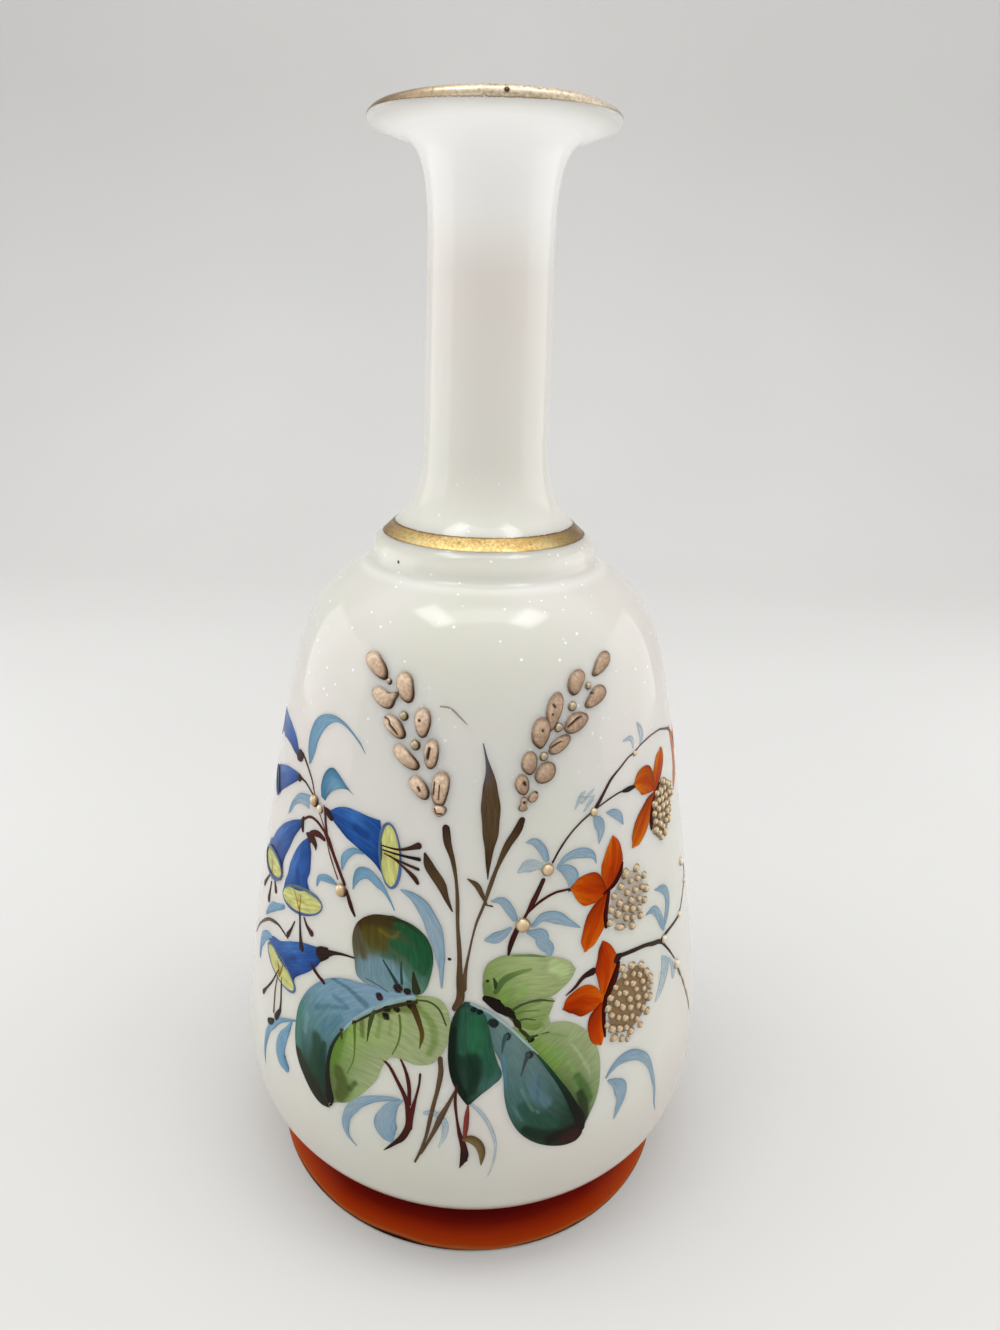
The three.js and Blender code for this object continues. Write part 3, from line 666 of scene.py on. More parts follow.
stem_enamel = enamel("stem_enamel", roughness=0.35, thin=0.25)
gather("stalks", [
    brush([(-6.6, 116.8, 1.6), (-6.2, 113.7, 1.6), (-5.1, 110.3, 1.1), (-4.3, 106.2, 0.7),
           (-3.9, 102, 0.8), (-3.7, 96, 0.8), (-3.2, 89.8, 1), (-3, 83.6, 1.4), (-2.8, 79.4, 1.9),
           (-4, 76.9, 1.2)],
          [BROWN, OLIVE, TAUPE, OLIVE, OLIVE]),
    brush([(9.3, 118.7, 1.3), (8.4, 116.6, 1.9), (6.3, 113.3, 1.5), (4.3, 108.7, 0.9), (3, 104.9, 0.9),
           (1.8, 100.8, 0.7), (0.1, 96, 0.5), (-1.3, 89, 0.5), (-1.9, 84.8, 0.9), (-2.1, 81.5, 1.2)],
          [BROWN, OLIVE, TAUPE, TAUPE, OLIVE], lift=0.04),
    brush([(-11, 110.8, 0.6), (-10, 108.2, 2.2), (-7.4, 104.5, 2), (-6.2, 101.6, 1.2), (-4.9, 98.9, 0.3)],
          [BROWN, OLIVE, BROWN], lift=0.05),
    brush([(0.7, 134.9, 0.2), (1.5, 131.6, 0.6), (2.2, 128.3, 1.8), (2.4, 124.9, 3.4),
           (2.6, 121.6, 3.9), (2.7, 118.7, 3.9), (2.7, 115.3, 3), (2.5, 112, 1.8), (2.4, 108.7, 0.8),
           (2.4, 106.2, 0.2)],
          [TAUPE, OLIVE, OLIVE, BROWN], [SLATE, TAUPE, OLIVE, BROWN], lift=0.05),
    brush([(-1.8, 106.2, 0.3), (0.1, 104.9, 1.2), (1.3, 102.8, 1), (2.4, 100.5, 0.3)], OLIVE, lift=0.05),
    brush([(2.2, 100.6, 0.3), (3.5, 100.3, 0.4)], OLIVE, lift=0.05),
    brush([(-8.3, 141.8, 0.3), (-6.2, 141.6, 0.4), (-4.1, 139.9, 0.4), (-2.6, 138.5, 0.2)], (*TAUPE, 0.5)),
], stem_enamel)


# Stems of the bellflowers
# Fine brown lines that branch from the two gilt beads, with dark calyxes and the thick-tipped
# stamens that hang from the bells.
MAROON, BLACK_BROWN, CALYX, RUST = (72, 22, 18), (30, 16, 12), (46, 22, 18), (60, 20, 16)
CALYX_DARK, TIP, STAMEN, GOLD_BROWN = (36, 18, 14), (40, 20, 16), (58, 34, 24), (140, 100, 44)
gather("bellflower_stems", [
    brush(points, colour, lift=lift) for points, colour, lift in (
        ([(-41, 115.8, 0.4), (-42.2, 118.4, 0.5), (-44.4, 120.8, 0.6), (-46.2, 122.2, 0.6),
          (-47.2, 122.4, 0.5)],
         [TAUPE, BROWN], 0.05),
        ([(-46.8, 122.6, 0.8), (-47.9, 122, 2.6), (-49.2, 121.3, 2)], CALYX, 0.1),
        ([(-41.4, 115.4, 0.5), (-42.6, 116, 0.5), (-44.8, 117, 0.5), (-46.8, 117.2, 0.5)], BROWN, 0.05),
        ([(-47, 117.2, 0.7), (-48, 116.9, 1.9), (-48.6, 116.7, 1.2)], CALYX, 0.1),
        ([(-36.2, 109, 0.6), (-36.7, 111.2, 0.7), (-37, 113.4, 0.7), (-37.4, 114.6, 0.3)], MAROON, 0.05),
        ([(-36.9, 114.2, 0.6), (-36, 113.6, 1.7), (-34.8, 112.8, 1.5)], CALYX, 0.1),
        ([(-39.4, 113, 0.35), (-38.1, 111.2, 0.35), (-36.8, 109.4, 0.4)], (120, 92, 72), 0.05),
        ([(-44.6, 108.9, 0.5), (-43.4, 109.8, 0.6), (-41.6, 110.4, 0.6), (-39.3, 110.1, 0.7),
          (-37.3, 109.1, 0.8)],
         MAROON, 0.05),
        ([(-45, 109, 0.8), (-45.6, 107.6, 1.5), (-45.2, 106, 0.8)], CALYX, 0.1),
        ([(-43, 105.8, 0.8), (-41.2, 107, 1.4), (-39, 107.6, 1.4), (-37, 107.2, 1)], MAROON, 0.06),
        ([(-43.2, 106, 1), (-41.6, 105.8, 1.8), (-40.2, 105, 1.6), (-39.8, 103.8, 0.3)], RUST, 0.1),
        ([(-42.6, 105.6, 1.2), (-41.8, 104.6, 0.3)], RUST, 0.1),
        ([(-36.8, 109, 1.1), (-35.5, 107.4, 1.2), (-33.7, 104.6, 1), (-32, 101.9, 0.9),
          (-30.5, 99.4, 0.9)],
         MAROON, 0.05),
        ([(-36.2, 107.6, 0.35), (-35.3, 105, 0.4), (-34, 102.6, 0.4), (-32.5, 99.9, 0.4)],
         (104, 66, 54), 0.04),
        ([(-29.9, 98.2, 0.8), (-29, 96, 1.1), (-28.2, 94.3, 0.9), (-27.5, 93.2, 0.5)],
         [MAROON, BLACK_BROWN], 0.05),
        ([(-27.5, 83.6, 0.4), (-30, 83.4, 0.5), (-32.8, 82.8, 0.9), (-35, 81.9, 1.7), (-37.6, 80.7, 3)],
         [BROWN, CALYX_DARK], 0.1),
        ([(-35.2, 82.9, 0.4), (-37.4, 82.1, 1)], CALYX_DARK, 0.1),
        ([(-35, 80.9, 0.5), (-37.4, 79.4, 1)], CALYX_DARK, 0.1),
        ([(-40.2, 76.6, 1.2), (-38.4, 75.4, 0.8), (-36.2, 74.4, 0.9)], (60, 24, 20), 0.1),
        ([(-50.2, 78.4, 0.4), (-53, 78.9, 0.6), (-55.6, 79, 0.7), (-58.8, 78.2, 0.8), (-61.8, 77, 0.8),
          (-64.8, 75.2, 0.8), (-67.6, 73.2, 0.7), (-71, 70.6, 0.6), (-76, 65.6, 0.4)],
         [BROWN, TAUPE, BROWN], 0.03),
        ([(-47.3, 83.9, 0.3), (-48.6, 81.6, 0.6), (-50.2, 79.3, 1.2)], BROWN, 0.12),
        ([(-45.3, 88.5, 0.5), (-45, 83.9, 0.6), (-44.6, 80.6, 1.2), (-44.2, 79.2, 2)], (46, 24, 26), 0.12),
        ([(-43.5, 86.6, 0.4), (-42.4, 85.2, 0.8), (-40.6, 84.1, 1.4)], (70, 28, 22), 0.12),
        ([(-63.4, 87.3, 0.4), (-66, 84.9, 0.7), (-68.7, 82.3, 1.4)], BROWN, 0.12),
        ([(-61.8, 86.2, 0.5), (-62.4, 84, 0.7), (-63.1, 81.4, 1.8)], BROWN, 0.12),
        ([(-59.3, 88, 0.5), (-58.1, 86, 1.5)], (80, 34, 26), 0.12),
        ([(-53.9, 68.9, 0.4), (-56, 66, 0.4), (-58.1, 63.1, 0.5), (-61, 60, 0.6), (-63.5, 57.3, 1.2)],
         BROWN, 0.12),
        ([(-54.3, 67.6, 0.3), (-55.4, 64.4, 0.4), (-56, 61.4, 0.5), (-56.4, 56.4, 0.6)], (112, 86, 66), 0.11),
        ([(-52.6, 67.4, 0.4), (-52.7, 64.2, 0.5), (-52.7, 61.4, 0.6), (-53.1, 58.5, 0.8)], BROWN, 0.12),
        ([(-52.9, 59.1, 0.8), (-54, 57.4, 1.4), (-55.2, 55.8, 1.6)], TIP, 0.12),
        ([(-56.4, 54.2, 1), (-57.6, 53.2, 1.6), (-59.3, 52.2, 1.4)], TIP, 0.12),
        ([(-48.4, 91.6, 0.2), (-47, 90, 0.4), (-45.6, 87.6, 0.5)], (166, 124, 62), 0.13),
        ([(-45, 91.4, 0.2), (-45.1, 89.4, 0.4), (-45.3, 87.4, 0.4)], (150, 110, 58), 0.13),
        ([(-52, 71.4, 0.2), (-52.6, 69.6, 0.6), (-53.6, 67.4, 0.5)], GOLD_BROWN, 0.13),
        ([(-54.8, 70.6, 0.2), (-54, 69, 0.5), (-53.8, 67, 0.4)], GOLD_BROWN, 0.13),
        ([(-21, 110.8, 0.3), (-17, 110.7, 0.5), (-14.8, 111.3, 0.8), (-12.4, 112.3, 1.5)], STAMEN, 0.12),
        ([(-20.6, 109.9, 0.3), (-16.6, 109.6, 0.5), (-12.2, 109.4, 0.8)], BLACK_BROWN, 0.12),
        ([(-20.2, 109.2, 0.3), (-16.4, 108.2, 0.5), (-12.4, 107.2, 0.7)], STAMEN, 0.12),
        ([(-18.8, 109, 0.3), (-15.8, 107.2, 0.5), (-13.2, 105.2, 1.1), (-12.5, 104.2, 0.8)], STAMEN, 0.12),
        ([(-62.5, 91.4, 0.3), (-61.8, 89.4, 0.6), (-61.8, 87.2, 0.5)], (150, 110, 56), 0.13))
], stem_enamel)


# Pale leaves
# Loose curved leaves in thin sky blue, each a single turn of the brush that thins to a hair.
SKY, SKY_DEEP, SKY_PALE = (118, 159, 184, 0.84), (58, 110, 142, 0.95), (150, 178, 196, 0.6)
MIST, MIST_DEEP, HAZE = (136, 164, 182, 0.8), (108, 142, 166, 0.9), (156, 182, 198, 0.45)
STRONG_SIDE = -20                        # the leaves left of this are painted stronger
sky_enamel = enamel("sky_enamel", roughness=0.32, depth=0.14, thin=0.75)
leaf_strokes = (
    [(-43.5, 122, 0.8), (-43.1, 125.3, 3.3), (-42, 128.7, 3.4), (-39.8, 131.6, 3.4),
     (-37.3, 133.3, 2.3), (-34.3, 134.3, 1.2), (-31.4, 133.9, 0.8), (-28.9, 132.6, 0.5),
     (-26.8, 131, 0.4), (-25.4, 129.3, 0.2)],
    [(-31.2, 102.4, 0.4), (-30.8, 104.9, 1.6), (-29.3, 106.8, 1.7), (-27.5, 107.8, 1.2),
     (-25.4, 107.8, 0.5)],
    [(-28.1, 99.1, 0.3), (-27.3, 101.6, 1.6), (-26, 103.3, 2.6), (-23.9, 103.6, 2.4), (-21.8, 102.3, 2),
     (-20, 100.8, 1), (-18.5, 98.7, 0.5), (-17.7, 97.2, 0.3)],
    [(-39.1, 96, 0.5), (-38.5, 97.8, 1.2), (-36.4, 98.7, 1.6), (-34.3, 98.8, 1.4), (-32.9, 98.5, 0.6)],
    [(-16.2, 102, 0.4), (-13.8, 101.2, 1.8), (-11.5, 99.4, 2.8), (-9.6, 96.4, 3.4), (-8.2, 92.8, 3.2),
     (-7.4, 89, 2.2), (-7, 85.5, 1.2), (-6.9, 81.5, 0.4)],
    [(-52.7, 84.8, 1), (-56, 83.1, 1.6), (-59.3, 81.4, 2.2), (-62.2, 79.3, 1.8), (-64.3, 77.3, 1)],
    [(-58.1, 73.9, 1), (-62.2, 72.7, 2.2), (-65.6, 70.2, 2.8), (-67.7, 67.3, 2.4), (-68.1, 64.3, 1.5)],
    [(-46, 60.2, 0.4), (-49.3, 58.5, 0.8), (-52.7, 56.4, 1.2), (-56.4, 53.1, 1.8), (-59.3, 49.8, 1.9),
     (-61, 46, 1.7), (-61.8, 42.3, 1.1), (-61.6, 38.9, 0.3)],
    [(-47.7, 58.9, 0.6), (-49.3, 56, 1.8), (-51.4, 52.7, 3), (-52.7, 49.3, 4.2), (-52.3, 46.8, 5),
     (-50.2, 45.6, 3)],
    [(10.3, 113.8, 0.3), (12.1, 113.8, 1.6), (13.9, 112, 1.8), (15, 109.7, 1.3)],
    [(17.8, 107.9, 0.6), (19.8, 109.3, 1.6), (22.5, 109.7, 2.2), (25.3, 109, 1.8), (26.6, 107.9, 1),
     (27.3, 106.3, 0.2)],
    [(17.6, 107.4, 0.6), (19.6, 106.6, 2.6), (21.2, 104.8, 3), (21, 102.6, 1.4), (20.4, 101.6, 0.4)],
    [(26.2, 117, 0.4), (27.5, 115.2, 2.6), (28.2, 113.4, 2.2), (27.8, 110.6, 0.3)],
    [(29.8, 116.8, 0.5), (31.6, 116.3, 1.8), (33.5, 115, 1.8), (34.8, 112.9, 0.4)],
    [(3.4, 101.4, 0.4), (5.5, 101.4, 1.6), (7.2, 99.5, 2), (8.4, 97.4, 1.4)],
    [(2.3, 92.8, 0.6), (4.3, 93.2, 2.4), (6, 94, 2), (7.5, 95.2, 0.8)],
    [(12.5, 95.4, 1), (14.8, 97, 2), (18, 96.3, 2.6), (20.7, 94.7, 1.6), (23.7, 92.9, 0.2)],
    [(11.6, 94, 1), (14.4, 92.9, 3), (14.8, 91.3, 3), (16.4, 89.5, 2.2), (16.6, 87.6, 0.3)],
    [(43.9, 89, 0.4), (46.6, 89, 1.6), (48.9, 87.2, 2.2), (50.7, 84.5, 2), (52.1, 82.2, 1.4)],
    [(47.5, 93.3, 0.4), (50.7, 92.2, 1.6), (53.5, 89.9, 2.4), (54.1, 86.7, 2.4), (52.8, 83.1, 1.6)],
    [(32.5, 54, 0.4), (33.9, 55.4, 1.2), (36.2, 56.7, 2.2), (39.4, 56.7, 2.6), (42.5, 55.4, 2.6),
     (45.3, 53.1, 2.2), (47.5, 49.9, 1.8), (49.1, 45.8, 1.2), (50.3, 41.7, 0.9), (50.7, 37.6, 0.5),
     (51.6, 34.5, 0.2)],
    [(33.2, 53.1, 0.6), (35.3, 51.7, 2.2), (37.1, 49.5, 3.6), (37.5, 46.7, 3), (36.6, 44, 1.6),
     (35.7, 41.7, 0.3)],
    [(-16.1, 52.8, 0.5), (-19, 52.3, 1.2), (-23.2, 50.7, 1.8), (-26.5, 48.2, 2.4), (-29, 44.8, 2.4),
     (-29.8, 41.5, 2), (-29.2, 38.6, 1), (-26.9, 36.5, 0.3)],
    [(-15.3, 52.8, 0.4), (-17.3, 51.1, 2), (-19, 47.8, 4.6), (-19.4, 44.8, 5.4), (-18.6, 42.3, 3.6),
     (-17.8, 41.4, 1)],
)
faint_strokes = (
    [(8.9, 107.5, 0.6), (10.7, 108.6, 2.6), (13, 108.6, 2.2), (13.9, 108.1, 1.2)],
    [(21.3, 119.5, 0.3), (22.6, 121.8, 1.2), (23.6, 122.8, 0.4)],
    [(22.8, 120.4, 0.4), (24.6, 121.8, 0.8), (26, 122.9, 0.3)],
    [(23.6, 118.6, 0.5), (25.2, 120.4, 1), (26.2, 121.4, 0.3)],
    [(22, 121.9, 0.25), (25.8, 121.2, 0.25)],
    [(34.4, 131.1, 0.5), (37.1, 130.9, 1.2), (37.8, 128.8, 0.5)],
    [(39.4, 133.6, 0.6), (40.5, 132, 1.6), (41.2, 130.2, 1.6), (40.5, 128.6, 0.4)],
    [(51.4, 75.4, 1), (53, 72.2, 4), (51.4, 68.5, 3.2), (48.9, 65.8, 0.8)],
    [(55.3, 73.1, 0.6), (57.1, 70.4, 1.6), (58, 67.6, 2)],
    [(0.2, 54, 0.8), (2.3, 51.9, 1), (4.3, 48.6, 1), (5.6, 44.8, 0.8), (5.8, 41.1, 0.6),
     (5.2, 37.3, 0.5), (4.3, 34.4, 0.2)],
    [(-10.2, 50.7, 0.8), (-8.2, 51.1, 1.4), (-5.7, 49, 1.6), (-5.7, 45.7, 1.2), (-6.9, 42.3, 0.4)],
)
gather("pale_leaves", [
    *(brush(points, [SKY_DEEP, SKY, SKY_DEEP], [SKY, SKY, SKY], lift=0.02, pool=0.35)
      if points[0][0] < STRONG_SIDE else
      brush(points, [MIST_DEEP, MIST, MIST_DEEP], [MIST, SKY_PALE, MIST], lift=0.02, pool=0.45)
      for points in leaf_strokes),
    *(brush(points, [SKY_PALE, HAZE], lift=0.02, pool=0.25) for points in faint_strokes),
    between([(-38.5, 116.2), (-38.7, 118.7), (-37.3, 122), (-34.8, 123.7), (-32.7, 122.8),
             (-30.6, 121.2), (-28.3, 119.7)],
            [(-37, 115.8), (-36, 117.4), (-34.3, 118.9), (-32.3, 119.9), (-30.2, 120.3), (-28.3, 119.7)],
            [SKY_DEEP, SKY_DEEP, SKY_DEEP], [SKY_DEEP, SKY, SKY_DEEP], lift=0.02, pool=0.3),
    between([(-42.7, 114.9), (-45.2, 114.5), (-48.1, 113.3), (-50.6, 111), (-52.3, 108.7),
             (-53.2, 106.6)],
            [(-42.9, 111.8), (-45.6, 111.8), (-48.1, 111), (-50.2, 109.5), (-51.6, 107.8),
             (-53.2, 106.6)],
            [SKY, SKY, SKY_DEEP], [SKY_PALE, SKY_PALE, SKY], lift=0.02, pool=0.3),
], sky_enamel)


# Bellflowers
# Six deep blue bells, drawn from the calyx to a pale yellow-green mouth with a slate outline.
BELL, BELL_LIGHT, BELL_DARK, LIME = (22, 70, 142), (56, 108, 172), (12, 42, 100), (198, 196, 120)
blue_enamel = enamel("blue_enamel", roughness=0.28, depth=0.3, thin=0.2)


def tilted(x, y, along, across, tilt):
    """A place along and across a tilted form from its centre."""
    c, s = math.cos(math.radians(tilt)), math.sin(math.radians(tilt))
    return x + along * c - across * s, y + along * s + across * c


def oval(x, y, length, width, tilt):
    """The two long sides of an oval, from end to end."""
    along = np.cos(np.linspace(math.pi, 0, 24)) * length / 2
    reach = np.sqrt(np.clip(1 - (along / length * 2) ** 2, 0, 1)) * width / 2
    return [np.stack(tilted(x, y, along, side * reach, tilt), -1) for side in (1, -1)]


bells = (
    ([(-49, 122.3), (-51.6, 124.8), (-55, 126), (-58.6, 126.4), (-63.8, 126.2), (-68, 125), (-72, 122.5)],
     [(-49.4, 120.9), (-52, 121.3), (-55.2, 121.8), (-59.2, 121.6), (-62, 121), (-64.6, 121),
      (-68, 120), (-71, 118)],
     (-71, 121.4, 6, 3.4, 80)),
    ([(-48.2, 117.8), (-50.8, 117.5), (-55, 116.8), (-60, 115.2), (-64.6, 113.2), (-66.4, 112)],
     [(-48.2, 116.4), (-50, 115.2), (-53.2, 113.2), (-56.8, 111), (-60, 108.9), (-60.8, 108)],
     (-64, 110, 6.6, 2.4, -49)),
    ([(-46.2, 108.2), (-50.2, 106.4), (-55.6, 103.2), (-60.4, 99.4), (-63.4, 96.4), (-66, 94.8),
      (-68.4, 91.6)],
     [(-46.2, 106.2), (-49, 103), (-51.4, 99.4), (-53.8, 96), (-54.6, 94), (-54.6, 92.4)],
     (-61.4, 91.2, 14, 6, 7)),
    ([(-43.1, 105.3), (-45.6, 103.2), (-47.7, 100.8), (-49.3, 98.3), (-50.6, 96), (-51.4, 93.5),
      (-52.7, 91), (-53.6, 87.8)],
     [(-42.3, 104.9), (-41.6, 102.8), (-41.6, 100.3), (-41.8, 97.8), (-42.7, 95.6), (-41.6, 93.7),
      (-38, 92.1)],
     (-45.4, 89.8, 16.8, 5.8, 15)),
    ([(-35.2, 114.3), (-32.7, 115.8), (-30.2, 116.5), (-27.3, 116.5), (-24.3, 116.2), (-21.3, 116)],
     [(-35.2, 112.8), (-32.7, 111.4), (-30.2, 109.9), (-27.7, 108.9), (-25.2, 107.8), (-22.9, 106.6),
      (-21.2, 105), (-20, 103)],
     (-18.9, 108.9, 13.8, 4.9, 93)),
    ([(-37, 82), (-40, 81.5), (-44, 80.4), (-48.8, 78.4), (-54, 75.8), (-58, 74.8), (-61.2, 72.8)],
     [(-37.2, 79), (-39.2, 76.6), (-42.2, 74), (-45.2, 71.8), (-47, 70), (-46.8, 68.2)],
     (-54, 69.2, 15, 5.8, -12)),
)
for number, (upper, lower, mouth) in enumerate(bells, 1):
    x, y, length, width, tilt = mouth
    around = [(*tilted(x, y, length / 2 * math.cos(turn), width / 2 * math.sin(turn), tilt),
               0.35 + 0.2 * (math.cos(turn * 2 + number) + 1)) for turn in np.linspace(0, 2 * math.pi, 25)]
    middle = [((a[0] + b[0]) / 2, (a[1] + b[1]) / 2, 2) for a, b in zip(upper, lower)][1:-1]
    gather(f"painted_bell_{number}", [
        between(upper, lower, [BELL, BELL_LIGHT, BELL], [BELL_DARK, BELL, BELL_DARK], lift=0.05,
                dabs=[(middle, BELL, 0.5), (middle[-2:], BELL_DARK, 0.5)]),
        skin(*oval(*mouth), (186, 188, 116), LIME, lift=0.08, swell=0.03, pool=0.35,
             dabs=[([(x - 1, y, 1.4), (x + 1.2, y + 0.3, 1)], (170, 158, 86), 0.7),
                   ([(x - length * 0.3, y + 0.6, 1.4)], (166, 178, 116), 0.6)]),
        brush(around, [SLATE, (92, 108, 100), SLATE, (64, 86, 136), SLATE], lift=0.1, closed=True),
    ], blue_enamel, f"bellflower_{number}")


# Broad leaves
# Each leaf is painted in two halves on either side of its rib, wet in wet: light green or
# blue-grey in the body, sinking to black-green and maroon along the rib and at the tip.
LEAF, LEAF_PALE, LEAF_MID, LEAF_DARK = (147, 161, 106), (164, 177, 126, 0.7), (102, 128, 58), (46, 64, 22)
BLACK_GREEN, TEAL, BLUE_GREY, OCHRE = (16, 30, 18), (76, 120, 128), (120, 150, 170), (80, 70, 18)
green_enamel = enamel("green_enamel", roughness=0.25, depth=0.15, thin=0.3)
dark_green_enamel = enamel("dark_green_enamel", roughness=0.22, depth=0.2, thin=0.2)


def blots(*places):
    """Soft-cornered blots, each of three short pats of the brush over each other."""
    pats = []
    for x, y, size, colour in places:
        for i in range(3):
            turn, reach = hand.uniform(0, math.pi), size * 0.2
            across, up = reach * math.cos(turn), reach * math.sin(turn)
            run = [(x - across, y - up, size * 0.5), (x + hand.uniform(-0.1, 0.1) * size, y, size * 0.66),
                   (x + across, y + up, size * 0.44)]
            pats.append(brush(run, (*colour, 0.5), lift=0.11 + 0.004 * i, swell=0.01, pool=0))
    return pats


def strokes(lift, *rows):
    """Single strokes of (points, colour) at one lift."""
    return [brush(points, colour, lift=lift) for points, colour in rows]


left_rib = [(-12.3, 78.8), (-16.1, 77.4), (-19.8, 75.3), (-23.6, 72.4), (-27.3, 69.2), (-30.3, 65.3),
            (-32.7, 61.8), (-34.3, 58.5), (-35, 54.3), (-35, 50.2), (-34.8, 46), (-34.6, 43.6)]
gather("painted_leaf_left_broad", [
    between([(-13, 79), (-20, 78.6), (-26, 78.4), (-31, 77.6), (-35.5, 75.6), (-39.5, 72.4),
             (-42.6, 68.8), (-45, 64.5), (-46, 60), (-46.2, 55.5), (-45.4, 51.5), (-43, 47.8),
             (-39.5, 44.3), (-37, 43.2), (-34.8, 43.4)],
            left_rib,
            [BLUE_GREY, BLUE_GREY, (114, 148, 166), (82, 124, 122), (38, 64, 46), (32, 34, 20)],
            [BLUE_GREY, BLUE_GREY, (110, 144, 162), (84, 120, 126), (34, 62, 44), (20, 20, 10)], lift=0.04,
            dabs=[
                ([(-34, 76.6, 0.8), (-29, 75.9, 1), (-24.4, 73.7, 1.8)], (66, 104, 116), 0.75),
                ([(-33, 72.6, 1.4), (-29.5, 71.6, 1.2)], (70, 110, 124), 0.5),
                ([(-38.5, 67.4, 1.4), (-34, 69.6, 1.2), (-29, 71.2, 0.8)], (70, 110, 124), 0.7),
                ([(-36, 63, 3), (-33, 66.5, 2.6), (-31, 68, 1.6)], (72, 114, 130), 0.6),
                ([(-43.6, 66, 1.6), (-45, 60.5, 2.2), (-45, 55, 2.2)], (72, 122, 108), 0.75),
                ([(-41.6, 64, 1.2), (-42.4, 59.6, 1.2)], (150, 178, 186), 0.25),
                ([(-38.4, 60, 3), (-38, 56, 4.4), (-38.4, 52.5, 4)], (30, 62, 42), 0.85),
                ([(-36, 59.5, 1.6), (-36.8, 54, 2.4), (-36.6, 48.5, 3)], (24, 54, 42), 0.85),
                ([(-45, 53, 2.4), (-42.6, 49.6, 4), (-39, 47, 4.6)], (34, 42, 26), 0.9),
                ([(-41, 48, 3), (-37.6, 45.4, 3.4), (-36, 44.6, 2)], (34, 34, 20), 0.85)]),
    between(left_rib,
            [(-10.7, 79), (-8, 79), (-5.9, 77.4), (-4.9, 74), (-5.1, 70), (-6.2, 66.4), (-8.4, 63.6),
             (-12, 62.4), (-15.6, 63), (-18.4, 62.6), (-20.3, 59.6), (-21.4, 56.6), (-23.8, 53.2),
             (-26.6, 50), (-29.6, 47.3), (-32.3, 46.1), (-34.4, 44.6)],
            [LEAF_MID, LEAF, LEAF, (126, 158, 72), (92, 128, 48), (66, 78, 30), (60, 62, 28)],
            [LEAF, LEAF_PALE, LEAF_PALE, LEAF_PALE, LEAF_PALE, (150, 176, 110, 0.75), (120, 130, 84, 0.8)],
            lift=0.05, turned_marks=True,
            dabs=[
                ([(-13, 76, 3), (-17, 75, 2), (-21, 72.6, 1.6)], (84, 96, 40), 0.8),
                ([(-11.6, 76, 1.2), (-9, 73, 1.8), (-8.2, 69, 1.8), (-9.4, 65.6, 1.4)], LEAF_MID, 0.75),
                ([(-20.6, 72, 1), (-21.4, 67, 1.2)], LEAF_MID, 0.6),
                ([(-18.2, 72, 0.8), (-18.4, 68.4, 0.8)], LEAF_MID, 0.5),
                ([(-25.4, 69.6, 1.4), (-25.2, 66, 1.2)], LEAF_DARK, 0.6),
                ([(-30, 66, 1.6), (-31.6, 61, 2.4), (-33, 56.6, 2.8)], (88, 124, 40), 0.8),
                ([(-31.6, 54.6, 3), (-30.4, 51, 4), (-31.4, 48, 3)], (66, 78, 26), 0.85),
                ([(-27, 53.6, 1.2), (-28.6, 51.4, 1.6)], (58, 78, 32), 0.8)]),
    *strokes(
        0.09,
        ([(-13, 78.3, 1), (-16.5, 77.1, 1.3), (-20, 75.1, 1.2), (-23, 72.9, 1), (-26.5, 70, 0.8),
          (-29, 67.2, 0.6), (-31, 64.4, 0.4)], (134, 164, 168)),
        ([(-12.4, 77.4, 0.9), (-16, 76, 0.9), (-19.6, 74.2, 0.8), (-23.4, 71.6, 0.6), (-27.8, 68, 0.4)],
         (52, 44, 22)),
        ([(-28.4, 67.8, 0.3), (-31.4, 64, 0.6), (-33.6, 60, 0.9), (-34.7, 56, 1.1), (-35, 52, 1.5),
          (-34.7, 49, 2.2), (-34.3, 46.6, 2.6), (-34.2, 45, 1.4)],
         [(40, 62, 34), (24, 30, 16), (22, 14, 8)]),
        ([(-12.9, 75.8, 1.6), (-11.8, 73, 1.4), (-11, 70, 1.1), (-11.5, 66.6, 0.3)],
         [(54, 38, 14), (100, 82, 26)]),
        ([(-12.3, 77.9, 0.5), (-9.5, 77.9, 0.5), (-7.3, 76.4, 0.5), (-5.7, 72.8, 0.3)], (62, 76, 34)),
        ([(-16.2, 73.5, 0.6), (-15.9, 70.5, 0.6), (-16.4, 67, 0.5), (-17.8, 63.7, 0.3)], (86, 112, 44)),
        ([(-22.3, 73, 1.1), (-23.2, 70, 1), (-24, 65, 0.3)], (58, 74, 30)),
        ([(-27.3, 68.2, 0.8), (-27.2, 63, 0.5), (-27.6, 59, 0.4), (-29.3, 55, 0.3)], (84, 104, 42)),
        ([(-30.9, 65.2, 0.9), (-30.8, 63.2, 0.5)], (66, 58, 26))),
    *blots((-21, 76.7, 2.4, (58, 26, 24)), (-19.2, 74.4, 2.4, BLACK_GREEN),
           (-19.4, 72.5, 2.4, (24, 26, 12)), (-16.8, 74.8, 2, (44, 40, 18)),
           (-13.6, 76.6, 3, (46, 28, 16)), (-27.4, 68.5, 1.6, (62, 44, 22))),
], green_enamel, "left_leaf_broad")
